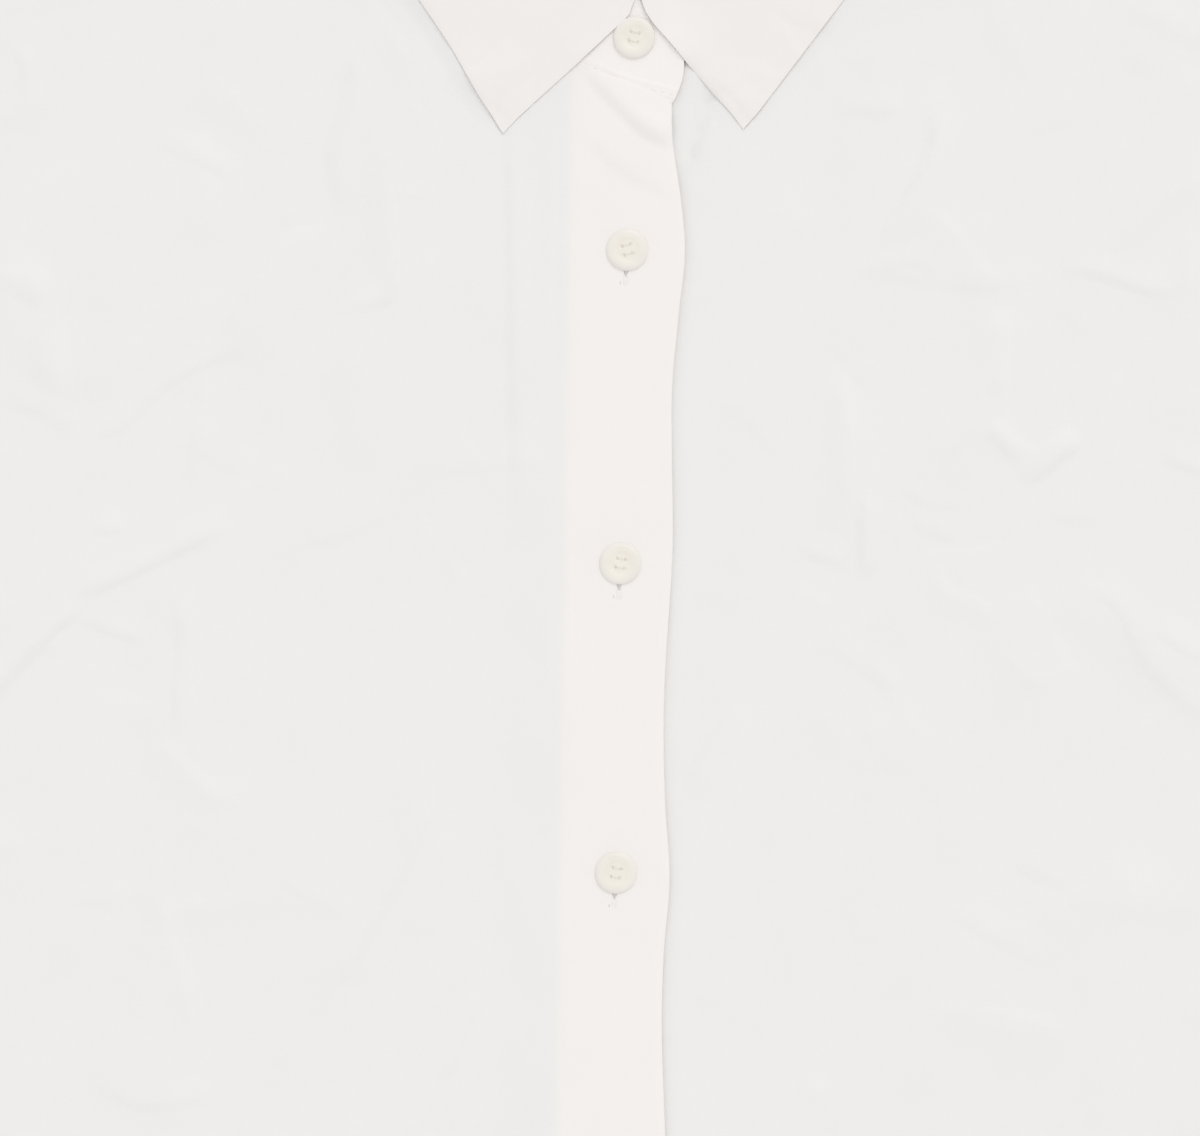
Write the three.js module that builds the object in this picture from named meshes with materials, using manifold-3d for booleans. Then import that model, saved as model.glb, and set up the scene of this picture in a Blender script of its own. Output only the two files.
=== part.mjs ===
// A creased button-front shirt, lying flat on its back and buttoned to the neck.
// Millimetres: x runs across to the wearer's left, y up to the collar, z up from the table.
// The centre front is x = 0 and the top of the shoulder is y = 0 until the last step.
import * as THREE from "three";
import Module from "manifold-3d";

const manifold = await Module();
manifold.setup();

const WALL = 1.2; // one layer of shirting
const CUFF_WALL = 1.6; // two layers with a stiffener between them
const SEAM_GAP = 0.5; // between the edges of two pieces that are sewn together
const NECK_GAP = 0.8; // the same where a body piece meets the tilted collar stand
const LAYER = WALL + 0.6; // from the middle of one layer to the middle of the next one
const TABLE_LAYER = WALL / 2; // middle height of a layer that lies on the table
const FRONT_LAYER = TABLE_LAYER + LAYER; // middle height of the layer that lies on that one
const LOFT = 1.0; // how far the fronts stand off the back, away from the edges
const LOFT_RUN = 45; // distance from the edge over which they rise
const CREASE_CLEAR = { from: 4, run: 22 }; // creases start this far from an edge and grow over this run

// The body's half outline, laid flat.
const BODY = {
  shoulder: [206, -44],
  armholeUpper: [186, -110],
  armholeLower: [188, -205],
  underarm: [262, -228],
  waist: [243, -400],
  hemSide: [262, -640],
  hemMiddle: [0, -700],
  hemCurveIn: [140, -700],
  hemCurveOut: [195, -690],
  backDrop: 12, // the back is this much longer at its middle
};

// The front bands: the one with the buttonholes laps over the other.
const BAND = { left: -14.6, underRight: 14.7, underTop: -78.1, meet: 15.2, calmRun: 20 };
const LAP_RISE = { from: -34, run: 19 }; // where the right front climbs to the band that laps over
const BAND_EDGE = [
  // the free edge bulges a little at every button
  { y: -80, x: 12.6 },
  { y: -98, x: 13.6 },
  { y: -120, x: 16.4 },
  { y: -158, x: 13.7 },
  { y: -202, x: 14.2 },
  { y: -248, x: 12.6 },
  { y: -290, x: 14.6 },
  { y: -332, x: 13.2 },
  { y: -374, x: 14.8 },
  { y: -416, x: 13.2 },
  { y: -458, x: 14.6 },
  { y: -500, x: 13.4 },
  { y: -543, x: 14.6 },
  { y: -620, x: 14 },
  { y: -702, x: 14 },
];

// The collar, one row per station on the right-hand half, from the centre front round to the back.
// seam: where the stand meets the neck; rim: its top edge; tip: the leaf's outer edge.
// rise: the rim's height over the seam; roll: how far the leaf stands off the stand;
// turn: the leaf's side of the stand, 0 above it, 90 beside it, 180 beneath it.
// leftTip: the left half's own leaf edge, where it lies a little nearer the centre.
const COLLAR = [
  {
    seam: [1, -77], rim: [1, -52], rise: 0.6, tip: [-33.9, -88.4], roll: 4.0, turn: 0,
    leftTip: [32.2, -86.8],
  },
  {
    seam: [-15.2, -69.9], rim: [-12, -46], rise: 1.2, tip: [-40.6, -78.6], roll: 3.6, turn: 0,
    leftTip: [38.7, -78.2],
  },
  { seam: [-38, -56], rim: [-30, -33], rise: 2.8, tip: [-51.5, -60.8], roll: 3.2, turn: 0 },
  { seam: [-60, -32], rim: [-50, -8], rise: 3.2, tip: [-73, -32], roll: 3.0, turn: 0 },
  { seam: [-71.5, -1], rim: [-66, 24], rise: 4.0, tip: [-95.5, -4.5], roll: 2.6, turn: 25 },
  { seam: [-73.6, 1.4], rim: [-69.2, 27], rise: 2.2, tip: [-99, -2], roll: 2.4, turn: 90 },
  { seam: [-71.5, -1], rim: [-66, 24], rise: 0.4, tip: [-95.5, -4.5], roll: 2.0, turn: 155 },
  { seam: [-45, -15], rim: [-40, 15.5], rise: 0.1, tip: [-60, -24], roll: 1.8, turn: 180 },
  { seam: [0, -20], rim: [0, 11], rise: 0.1, tip: [0, -32], roll: 1.8, turn: 180 },
];
const FIRST_FRONT_STATION = 1;
const LAST_FRONT_STATION = 4;
const SIDE_STATION = 5;
const FIRST_BACK_STATION = 6;
const LEFT_RIM_X = 3.3; // the left half's rim ends this far over at the centre front
const SIDE_LEAN = { x: 0.9, y: 0.44 }; // the way out of the stand where the leaf lies beside it
const TIP_LAYER = LAYER + 0.25; // the leaf lies a little looser on the fronts than flat layers do
// The stand's ends lap at the centre front under the leaf.
const STAND_OVER_END = { seam: [12.2, -80], rim: [9.5, -55], bulge: 4.4 };
const STAND_UNDER_END = { seam: [-12.5, -77.2], rim: [-10, -53.5], bulge: -2.5 };
const NECK_LIFT = { width: 110, depth: 44, fade: 0.5 }; // the leaf's back lies under this part of the yoke

// Sleeves, each a flat tube: its upper edge from the shoulder tip, its lower edge from the underarm.
const SLEEVE = {
  upper: [[206, -44], [330, -75], [470, -290], [553, -566]],
  lower: [[262, -228], [325, -256], [398, -425], [452, -612]],
  clear: [1.1, 1.2], // moved off the armhole by this
  headRun: 0.16, // share of the length over which the armhole's curve dies away
  loftShare: 0.8, // of the loft of the fronts
  startRun: 0.08, // shares of the length over which it rises at the armhole and falls at the cuff
  endRun: 0.06,
};
const CUFF = { length: 58, narrower: 5, underEnd: 4, overEnd: -17, buttonAcross: -6, layerGap: 0.4 };

const BUTTON = {
  radius: 5.7, thickness: 2.4, rimWidth: 1.2, dish: 0.5, edge: 0.5, holeRadius: 0.75, holeSpread: 1.45,
  segments: 16, holeSides: 5, float: 0.35,
};
const BUTTON_PLACES = [
  { name: "button_front_1", x: 0.6, y: -120.2 },
  { name: "button_front_2", x: 0, y: -205.4 },
  { name: "button_front_3", x: 0, y: -289.4 },
  { name: "button_front_4", x: 0, y: -373.9 },
  { name: "button_front_5", x: 0, y: -458.4 },
  { name: "button_front_6", x: 0, y: -543 },
];
const STAND_BUTTON = { name: "button_stand", x: 1.6, y: -62.6, lift: 0.2 };

// Creases: each runs from one place to another, bowed sideways at its middle, and is a ridge of
// this height, or a trough where the height is below nothing.
const RIGHT_CREASES = [
  { from: [-170, -114], to: [-147, -164], bow: -7, height: 1.7, width: 8 },
  { from: [-150, -173], to: [-98, -146], bow: 3, height: -0.8, width: 9 },
  { from: [-146, -162], to: [-104, -138], bow: 3, height: 1.0, width: 9 },
  { from: [-66, -78], to: [-64, -136], bow: 3, height: 1.6, width: 8 },
  { from: [-79, -76], to: [-81, -124], bow: -3, height: -0.8, width: 7 },
  { from: [-66, -132], to: [-104, -160], bow: 5, height: 1.1, width: 10 },
  { from: [-172, -246], to: [-146, -217], bow: 2, height: -0.9, width: 7 },
  { from: [-166, -228], to: [-108, -192], bow: 4, height: 1.4, width: 9 },
  { from: [-121, -205], to: [-121, -262], bow: -3, height: 1.0, width: 9 },
  { from: [-112, -208], to: [-55, -188], bow: 3, height: 0.8, width: 10 },
  { from: [-44, -246], to: [-78, -332], bow: 6, height: 1.0, width: 12 },
  { from: [-150, -342], to: [-102, -352], bow: -3, height: 1.1, width: 11 },
  { from: [-150, -430], to: [-70, -465], bow: -8, height: 1.3, width: 14 },
  { from: [-205, -520], to: [-120, -560], bow: 9, height: 1.5, width: 15 },
  { from: [-60, -560], to: [-90, -650], bow: 6, height: 1.2, width: 14 },
  { from: [-190, -330], to: [-215, -420], bow: -6, height: 1.2, width: 13 },
];
const LEFT_CREASES = [
  { from: [84, -72], to: [64, -122], bow: 7, height: 1.3, width: 8 },
  { from: [74, -104], to: [108, -130], bow: -3, height: 1.2, width: 9 },
  { from: [118, -122], to: [156, -124], bow: -3, height: 1.1, width: 8 },
  { from: [128, -124], to: [158, -94], bow: 3, height: 1.0, width: 9 },
  { from: [103, -134], to: [85, -182], bow: 5, height: 1.5, width: 8 },
  { from: [97, -163], to: [124, -170], bow: -4, height: 1.0, width: 8 },
  { from: [60, -150], to: [63, -208], bow: 2, height: 1.3, width: 8 },
  { from: [84, -202], to: [112, -240], bow: 4, height: 1.3, width: 9 },
  { from: [118, -210], to: [164, -246], bow: 4, height: 1.6, width: 8 },
  { from: [114, -222], to: [156, -258], bow: 4, height: -0.8, width: 7 },
  { from: [54, -238], to: [78, -262], bow: 3, height: 1.0, width: 9 },
  { from: [104, -282], to: [164, -298], bow: -4, height: 1.1, width: 12 },
  { from: [88, -322], to: [128, -331], bow: -3, height: 1.2, width: 10 },
  { from: [70, -400], to: [150, -440], bow: -8, height: 1.3, width: 14 },
  { from: [205, -480], to: [110, -530], bow: -9, height: 1.5, width: 15 },
  { from: [60, -580], to: [100, -655], bow: -6, height: 1.2, width: 14 },
  { from: [185, -320], to: [212, -410], bow: 6, height: 1.2, width: 13 },
];
// Sleeve creases: along runs from the armhole at 0 to the cuff at 1, across from the upper edge at 0.
const SLEEVE_CREASES = [
  { along: 0.16, across: 0.6, height: 1.6, run: 0.1, spread: 0.22, slant: 0.35 },
  { along: 0.36, across: 0.45, height: 1.5, run: 0.07, spread: 0.26, slant: -0.3 },
  { along: 0.55, across: 0.6, height: 1.8, run: 0.06, spread: 0.24, slant: 0.25 },
  { along: 0.74, across: 0.42, height: 1.4, run: 0.06, spread: 0.24, slant: -0.2 },
  { along: 0.9, across: 0.6, height: 1.3, run: 0.05, spread: 0.2, slant: 0.15 },
];

const mix = THREE.MathUtils.lerp;
const mixPoint = (a, b, t) => a.clone().lerp(b, t);
const steps = (from, to, count) => Array.from({ length: count + 1 }, (_, i) => mix(from, to, i / count));
const vector = ([x, y]) => new THREE.Vector2(x, y);
const mirrored = ([x, y]) => [-x, y];

function smooth(t) {
  const c = THREE.MathUtils.clamp(t, 0, 1);
  return c * c * (3 - 2 * c);
}

// A path through curves joined end to end, read by its share of the length.
function joined(...curves) {
  const path = new THREE.CurvePath();
  curves.forEach((curve) => path.add(curve));
  return (t) => path.getPoint(THREE.MathUtils.clamp(t, 0, 1));
}
const bezier = (points) => new THREE.CubicBezierCurve(...points.map(vector));
const line = (a, b) => new THREE.LineCurve(vector(a), vector(b));
const through = (points) => new THREE.SplineCurve(points.map(vector));
const asPair = (v) => [v.x, v.y];

// A run of straight pieces through points, read by its share of the pieces.
function pieces(points) {
  const spots = points.map(vector);
  return (t) => {
    const place = THREE.MathUtils.clamp(t, 0, 1) * (spots.length - 1);
    const low = Math.min(Math.floor(place), spots.length - 2);
    return mixPoint(spots[low], spots[low + 1], place - low);
  };
}
// Two edges end to end: the first one up to the share given, and the second one from there.
const chained = (share, lower, upper) => (t) =>
  t <= share ? lower(t / share) : upper((t - share) / (1 - share));

// The edge of a body piece at the neck: the stand's seam, moved off it by the gap.
// Side 1 is the wearer's right-hand half, at x below nothing.
const SPANS_PER_STATION = 3;
function neckEdge(side, first, last) {
  const pastBack = COLLAR.at(-2);
  const seams = through([...COLLAR.map((row) => row.seam), mirrored(pastBack.seam)]);
  const rims = through([...COLLAR.map((row) => row.rim), mirrored(pastBack.rim)]);
  return steps(first, last, (last - first) * SPANS_PER_STATION).map((station) => {
    const seam = seams.getPoint(station / COLLAR.length);
    const rim = rims.getPoint(station / COLLAR.length);
    const edge = seam.clone().add(seam.clone().sub(rim).setLength(NECK_GAP));
    return [edge.x * side, edge.y];
  });
}
const NECK_SIDE = neckEdge(1, LAST_FRONT_STATION, LAST_FRONT_STATION + 1)[0];

// The half outline of the body: side 1 is the half at x above nothing, and side -1 its mirror image.
const ARMHOLE = bezier([BODY.shoulder, BODY.armholeUpper, BODY.armholeLower, BODY.underarm]);
const ARMHOLE_SPANS = 10;
const YOKE_SPANS = 3; // the yoke takes this many of them
const placed = (point, side) => [point[0] * side, point[1]];
const armholePoints = (side) =>
  steps(0, 1, ARMHOLE_SPANS).map((t) => placed(asPair(ARMHOLE.getPoint(t)), side));
const armholeUp = (side) => pieces(armholePoints(side).reverse());
const sideSeam = (side) => through([BODY.hemSide, BODY.waist, BODY.underarm].map((p) => placed(p, side)));
const neckCorner = [Math.abs(NECK_SIDE[0]), NECK_SIDE[1]];
const shoulderSeam = (side) => line(placed(neckCorner, side), placed(BODY.shoulder, side));
function hem(side, startX, drop) {
  const curve = bezier([BODY.hemMiddle, BODY.hemCurveIn, BODY.hemCurveOut, BODY.hemSide]);
  return through(
    steps(0, 1, 12).map((t) => {
      const p = curve.getPoint(t);
      const x = mix(startX, BODY.hemSide[0], p.x / BODY.hemSide[0]);
      return [x * side, p.y - drop * (1 - smooth(p.x / BODY.hemSide[0]))];
    }),
  );
}

const OUTLINE = new THREE.CurvePath();
[hem(1, 0, 0), sideSeam(1), ARMHOLE, shoulderSeam(1)].forEach((curve) => OUTLINE.add(curve));
const OUTLINE_SPOTS = 420;
const OUTLINE_POINTS = OUTLINE.getSpacedPoints(OUTLINE_SPOTS);
function edgeDistance(x, y) {
  const here = new THREE.Vector2(Math.abs(x), y);
  return Math.min(...OUTLINE_POINTS.map((p) => p.distanceTo(here)));
}

// The height of a crease at a place, tapering to nothing at both ends.
function creaseHeight({ from, to, bow, height, width }, x, y) {
  const run = vector(to).sub(vector(from));
  const length = run.length();
  const here = new THREE.Vector2(x, y).sub(vector(from));
  const along = here.dot(run) / (length * length);
  if (along <= 0 || along >= 1) return 0;
  const aside = run.cross(here) / length - 4 * bow * along * (1 - along);
  return height * Math.sin(Math.PI * along) ** 0.7 * Math.exp(-((aside / width) ** 2));
}
const creases = (table, x, y) => table.reduce((sum, crease) => sum + creaseHeight(crease, x, y), 0);

// Heights of the layers' middles.
function neckLift(x, y) {
  const out = Math.hypot(x / NECK_LIFT.width, y / NECK_LIFT.depth);
  return LAYER * smooth((1 + NECK_LIFT.fade - out) / NECK_LIFT.fade);
}
const loft = (x, y) => LOFT * smooth(edgeDistance(x, y) / LOFT_RUN);
const calm = (x, y) => smooth((edgeDistance(x, y) - CREASE_CLEAR.from) / CREASE_CLEAR.run);
const yokeHeight = (x, y) => TABLE_LAYER + neckLift(x, y);
const underBandHeight = (x, y) => FRONT_LAYER + loft(x, y);
const overBandHeight = (x, y) => underBandHeight(x, y) + LAYER;
function leftFrontHeight(x, y) {
  const clearOfBand = smooth((x - BAND.meet) / BAND.calmRun);
  const folded = creases(LEFT_CREASES, x, y) * calm(x, y) * clearOfBand;
  return underBandHeight(x, y) + neckLift(x, y) + folded;
}
function rightFrontHeight(x, y) {
  const overLap = smooth((x - LAP_RISE.from) / LAP_RISE.run);
  const folded = creases(RIGHT_CREASES, x, y) * calm(x, y) * (1 - overLap);
  return underBandHeight(x, y) + neckLift(x, y) + folded + LAYER * overLap;
}

// A patch between four edges, as rows of points from the bottom edge up.
function patch({ left, right, bottom, top, across, up, height }) {
  return up.map((v) =>
    across.map((u) => {
      const between = mixPoint(left(v), right(v), u).add(mixPoint(bottom(u), top(u), v));
      const corners = mixPoint(mixPoint(left(0), right(0), u), mixPoint(left(1), right(1), u), v);
      const { x, y } = between.sub(corners);
      return new THREE.Vector3(x, y, height(x, y));
    }),
  );
}

// Cloth of one thickness whose middle runs through rows of points. A ring's rows close on themselves.
function clothWall(rows, wall, ring = false) {
  const down = rows.length;
  const across = rows[0].length;
  const wrap = (j) => (j + across) % across;
  const before = (j) => (ring ? wrap(j - 1) : Math.max(j - 1, 0));
  const after = (j) => (ring ? wrap(j + 1) : Math.min(j + 1, across - 1));
  const faceOut = [];
  const faceIn = [];
  rows.forEach((row, i) =>
    row.forEach((point, j) => {
      const alongRow = row[after(j)].clone().sub(row[before(j)]);
      const alongColumn = rows[Math.min(i + 1, down - 1)][j].clone().sub(rows[Math.max(i - 1, 0)][j]);
      const normal = alongRow.cross(alongColumn).setLength(wall / 2);
      faceOut.push(point.clone().add(normal));
      faceIn.push(point.clone().sub(normal));
    }),
  );
  const inner = faceOut.length;
  const index = [];
  const quad = (a, b, c, d) => index.push(a, b, c, a, c, d);
  const at = (i, j) => i * across + wrap(j);
  const columns = ring ? across : across - 1;
  for (let i = 0; i < down - 1; i++)
    for (let j = 0; j < columns; j++) {
      const [a, b, c, d] = [at(i, j), at(i, j + 1), at(i + 1, j + 1), at(i + 1, j)];
      quad(a, b, c, d);
      quad(inner + d, inner + c, inner + b, inner + a);
    }
  for (let j = 0; j < columns; j++) {
    quad(at(0, j), inner + at(0, j), inner + at(0, j + 1), at(0, j + 1));
    quad(at(down - 1, j + 1), inner + at(down - 1, j + 1), inner + at(down - 1, j), at(down - 1, j));
  }
  if (!ring)
    for (let i = 0; i < down - 1; i++) {
      quad(at(i + 1, 0), inner + at(i + 1, 0), inner + at(i, 0), at(i, 0));
      const last = across - 1;
      quad(at(i, last), inner + at(i, last), inner + at(i + 1, last), at(i + 1, last));
    }
  const points = [...faceOut, ...faceIn];
  const volume = index.reduce((sum, _, k) => {
    if (k % 3) return sum;
    const [a, b, c] = [points[index[k]], points[index[k + 1]], points[index[k + 2]]];
    return sum + a.dot(b.clone().cross(c));
  }, 0);
  if (volume < 0) index.reverse();
  return new THREE.BufferGeometry().setFromPoints(points).setIndex(index);
}

const MATERIALS = {
  shirting: new THREE.MeshStandardMaterial({ color: 0xeeedeb, roughness: 0.9, metalness: 0 }),
  doubled: new THREE.MeshStandardMaterial({ color: 0xf3f0ec, roughness: 0.9, metalness: 0 }),
  button: new THREE.MeshStandardMaterial({ color: 0xf0ece2, roughness: 0.35, metalness: 0 }),
};
const shirt = new THREE.Group();
shirt.name = "shirt";
function addPiece(name, material, geometry) {
  const mesh = new THREE.Mesh(geometry, MATERIALS[material]);
  mesh.name = name;
  shirt.add(mesh);
  return mesh;
}

// Fronts, each from its band to the side seam, with the neck's edge above the band.
const UNDERARM_SHARE = 0.66;
const ARMHOLE_ROWS = 2 * ARMHOLE_SPANS;
const NECK_ROWS = (LAST_FRONT_STATION - FIRST_FRONT_STATION) * SPANS_PER_STATION;
const NECK_SHARE = mix(UNDERARM_SHARE, 1, 1 - NECK_ROWS / ARMHOLE_ROWS);
const FRONT_ACROSS = [...steps(0, 0.66, 10).slice(0, -1), ...steps(0.66, 1, 4)];
const FRONT_UP = [
  ...steps(0, 0.44, 7).slice(0, -1),
  ...steps(0.44, UNDERARM_SHARE, 12).slice(0, -1),
  ...steps(UNDERARM_SHARE, 1, ARMHOLE_ROWS),
];
function front(side, meet, height) {
  const neck = neckEdge(-side, FIRST_FRONT_STATION, LAST_FRONT_STATION);
  return patch({
    left: chained(NECK_SHARE, joined(line([meet, BODY.hemMiddle[1]], neck[0])), pieces(neck)),
    right: chained(UNDERARM_SHARE, joined(sideSeam(side)), armholeUp(side)),
    bottom: joined(hem(side, Math.abs(meet), 0)),
    top: joined(shoulderSeam(side)),
    across: FRONT_ACROSS,
    up: FRONT_UP,
    height,
  });
}
addPiece("front_right", "shirting", clothWall(front(-1, -BAND.meet, rightFrontHeight), WALL));
addPiece("front_left", "shirting", clothWall(front(1, BAND.meet, leftFrontHeight), WALL));

// The bands run from hem to neck; the free edge of the upper one wanders.
const BAND_UP = [...steps(0, 0.44, 6).slice(0, -1), ...steps(0.44, 1, 24)];
const BAND_TOP = [
  [BAND.left, -71.5],
  [-7.5, -74.8],
  [3.5, -78.4],
  [12.4, -81],
];
addPiece(
  "front_right_band",
  "doubled",
  clothWall(
    patch({
      left: joined(line([BAND.left, BODY.hemMiddle[1]], BAND_TOP[0])),
      right: joined(through([...BAND_EDGE.map(({ x, y }) => [x, y]).reverse().slice(0, -1), BAND_TOP[3]])),
      bottom: joined(line([BAND.left, BODY.hemMiddle[1]], [BAND_EDGE.at(-1).x, BAND_EDGE.at(-1).y])),
      top: joined(through(BAND_TOP)),
      across: steps(0, 1, 3),
      up: BAND_UP,
      height: overBandHeight,
    }),
    WALL,
  ),
);
addPiece(
  "front_left_band",
  "doubled",
  clothWall(
    patch({
      left: joined(line([BAND.left, BODY.hemMiddle[1]], [BAND.left, BAND.underTop])),
      right: joined(line([BAND.underRight, BODY.hemMiddle[1]], [BAND.underRight, BAND.underTop])),
      bottom: joined(line([BAND.left, BODY.hemMiddle[1]], [BAND.underRight, BODY.hemMiddle[1]])),
      top: joined(line([BAND.left, BAND.underTop], [BAND.underRight, BAND.underTop])),
      across: steps(0, 1, 2),
      up: BAND_UP,
      height: underBandHeight,
    }),
    WALL,
  ),
);

// The back and the yoke lie on the table, but for the yoke's middle, which lies on the collar.
const yokeCorner = armholePoints(1)[YOKE_SPANS];
const yokeSeam = (y) => joined(line([-yokeCorner[0], y], [yokeCorner[0], y]));
const backHem = (side) => joined(hem(side, 0, BODY.backDrop));
const backSide = (side) =>
  chained(
    UNDERARM_SHARE,
    joined(sideSeam(side)),
    pieces(armholePoints(side).slice(YOKE_SPANS).reverse()),
  );
addPiece(
  "back",
  "shirting",
  clothWall(
    patch({
      left: backSide(-1),
      right: backSide(1),
      bottom: (t) => (t < 0.5 ? backHem(-1)(1 - 2 * t) : backHem(1)(2 * t - 1)),
      top: yokeSeam(yokeCorner[1]),
      across: steps(0, 1, 12),
      up: [
        ...steps(0, UNDERARM_SHARE, 6).slice(0, -1),
        ...steps(UNDERARM_SHARE, 1, ARMHOLE_SPANS - YOKE_SPANS),
      ],
      height: yokeHeight,
    }),
    WALL,
  ),
);
const backNeckHalf = neckEdge(1, FIRST_BACK_STATION, COLLAR.length - 1);
const backNeck = [...backNeckHalf, ...backNeckHalf.slice(0, -1).map(mirrored).reverse()];
const SHOULDER_SHARE = 0.3; // of the yoke's top edge, for each shoulder
const rightShoulderAndNeck = chained(
  SHOULDER_SHARE / (1 - SHOULDER_SHARE),
  joined(line(mirrored(BODY.shoulder), backNeck[0])),
  pieces(backNeck),
);
const yokeTop = chained(
  1 - SHOULDER_SHARE,
  rightShoulderAndNeck,
  joined(line(backNeck.at(-1), BODY.shoulder)),
);
addPiece(
  "yoke",
  "shirting",
  clothWall(
    patch({
      left: pieces(armholePoints(-1).slice(0, YOKE_SPANS + 1).reverse()),
      right: pieces(armholePoints(1).slice(0, YOKE_SPANS + 1).reverse()),
      bottom: yokeSeam(yokeCorner[1] + SEAM_GAP),
      top: yokeTop,
      across: [
        ...steps(0, SHOULDER_SHARE, 5).slice(0, -1),
        ...steps(SHOULDER_SHARE, 1 - SHOULDER_SHARE, backNeck.length - 1).slice(0, -1),
        ...steps(1 - SHOULDER_SHARE, 1, 5),
      ],
      up: steps(0, 1, YOKE_SPANS),
      height: yokeHeight,
    }),
    WALL,
  ),
);

// Sleeves.
const SLEEVE_ACROSS = steps(0, 1, ARMHOLE_SPANS);
function sleevePoint(upper, lower, along, across) {
  const plain = mixPoint(upper.getPoint(along), lower.getPoint(along), across);
  const chord = mixPoint(vector(BODY.shoulder), vector(BODY.underarm), across);
  const bowed = ARMHOLE.getPoint(across).sub(chord).multiplyScalar(1 - smooth(along / SLEEVE.headRun));
  return plain.add(bowed).add(vector(SLEEVE.clear));
}
function sleeveCreases(along, across) {
  return SLEEVE_CREASES.reduce((sum, { height, run, spread, slant, ...at }) => {
    const aside = across - at.across;
    const off = (along - at.along - slant * aside) / run;
    return sum + height * Math.exp(-(off ** 2) - (aside / spread) ** 2);
  }, 0);
}
function sleeveRows() {
  const upper = bezier(SLEEVE.upper);
  const lower = bezier(SLEEVE.lower);
  return steps(0, 1, 14).map((along) => {
    const top = SLEEVE_ACROSS.map((across) => {
      const { x, y } = sleevePoint(upper, lower, along, across);
      const middle = Math.sin(Math.PI * across);
      const ends = smooth(along / SLEEVE.startRun) * smooth((1 - along) / SLEEVE.endRun);
      const raised = (LOFT * SLEEVE.loftShare + sleeveCreases(along, across)) * middle * ends;
      return new THREE.Vector3(x, y, FRONT_LAYER + raised);
    });
    const bottom = top.map((p) => new THREE.Vector3(p.x, p.y, TABLE_LAYER)).reverse();
    // Each side folds round half-way between the two layers.
    const turn = (a, b) => {
      const away = a.clone().sub(b).setZ(0).setLength(LAYER / 2);
      return a.clone().add(away).setZ((TABLE_LAYER + FRONT_LAYER) / 2);
    };
    return [...top, turn(top.at(-1), top.at(-2)), ...bottom, turn(top[0], top[1])];
  });
}

// Cuffs: a band round the sleeve's end, its two ends lapped on top and buttoned.
function cuffFrame() {
  const outer = vector(SLEEVE.upper.at(-1)).add(vector(SLEEVE.clear));
  const inner = vector(SLEEVE.lower.at(-1)).add(vector(SLEEVE.clear));
  const across = outer.clone().sub(inner).normalize();
  const along = new THREE.Vector2(across.y, -across.x);
  const half = outer.distanceTo(inner) / 2 - CUFF.narrower;
  return { middle: mixPoint(outer, inner, 0.5).addScaledVector(along, SEAM_GAP), across, along, half };
}
function cuffRows() {
  const { middle, across, along, half } = cuffFrame();
  const bottom = CUFF_WALL / 2;
  const under = bottom + CUFF_WALL + CUFF.layerGap;
  const over = under + CUFF_WALL + CUFF.layerGap;
  const round = (centre, low, high, way) => {
    const angles = way > 0 ? steps(-90, 90, 4) : steps(90, 270, 4);
    const radius = (high - low) / 2;
    return angles.map((a) => {
      const rad = THREE.MathUtils.degToRad(a);
      return [centre + Math.cos(rad) * radius, (low + high) / 2 + Math.sin(rad) * radius];
    });
  };
  // [across, height] from the end beneath, round the sleeve, to the end on top
  const section = [
    ...steps(CUFF.underEnd, -half + 3, 4).map((x) => [x, under]),
    ...round(-half, bottom, under, -1),
    ...steps(-half + 6, half - 6, 5).map((x) => [x, bottom]),
    ...round(half, bottom, over, 1),
    ...steps(half - 4, CUFF.overEnd, 5).map((x) => [x, over]),
  ];
  return steps(0, CUFF.length, 2).map((down) =>
    section.map(([aside, z]) => {
      const p = middle.clone().addScaledVector(across, aside).addScaledVector(along, down);
      return new THREE.Vector3(p.x, p.y, z);
    }),
  );
}
const turnedOver = (rows) => rows.map((row) => row.map((p) => new THREE.Vector3(-p.x, p.y, p.z)));
addPiece("sleeve_left", "shirting", clothWall(sleeveRows(), WALL, true));
addPiece("sleeve_right", "shirting", clothWall(turnedOver(sleeveRows()), WALL, true));
addPiece("cuff_left", "doubled", clothWall(cuffRows(), CUFF_WALL));
addPiece("cuff_right", "doubled", clothWall(turnedOver(cuffRows()), CUFF_WALL));

// The collar stand and leaf, as stations round the neck: right half from the front, then the left half.
function station(row, side, index) {
  const seam = vector(placed(row.seam, side));
  const rim = vector(placed(row.rim, side));
  const tip = side < 0 && row.leftTip ? vector(row.leftTip) : vector(placed(row.tip, side));
  const isFront = index <= LAST_FRONT_STATION;
  const frontHeight = side > 0 ? rightFrontHeight : leftFrontHeight;
  let seamZ = isFront ? frontHeight(seam.x, seam.y) : yokeHeight(seam.x, seam.y);
  let tipZ = isFront ? frontHeight(tip.x, tip.y) + TIP_LAYER : TABLE_LAYER;
  if (index === 0 && side < 0) rim.setX(LEFT_RIM_X);
  if (index === 0) seamZ = side > 0 ? overBandHeight(seam.x, seam.y) : underBandHeight(seam.x, seam.y);
  if (index === SIDE_STATION) {
    const from = frontHeight(NECK_SIDE[0], NECK_SIDE[1]);
    seamZ = (from + yokeHeight(seam.x, seam.y)) / 2;
    tipZ = FRONT_LAYER + LAYER / 2;
  }
  const rimZ = seamZ + row.rise;
  const lapped = index === 0 && side < 0 ? LAYER : 0; // the leaf lies over the stand's lapped end here
  return {
    seam: new THREE.Vector3(seam.x, seam.y, seamZ),
    rim: new THREE.Vector3(rim.x, rim.y, rimZ),
    tip: new THREE.Vector3(tip.x, tip.y, tipZ),
    roll: row.roll + lapped,
    turn: row.turn,
  };
}
const rightHalf = COLLAR.map((row, i) => station(row, 1, i));
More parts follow.
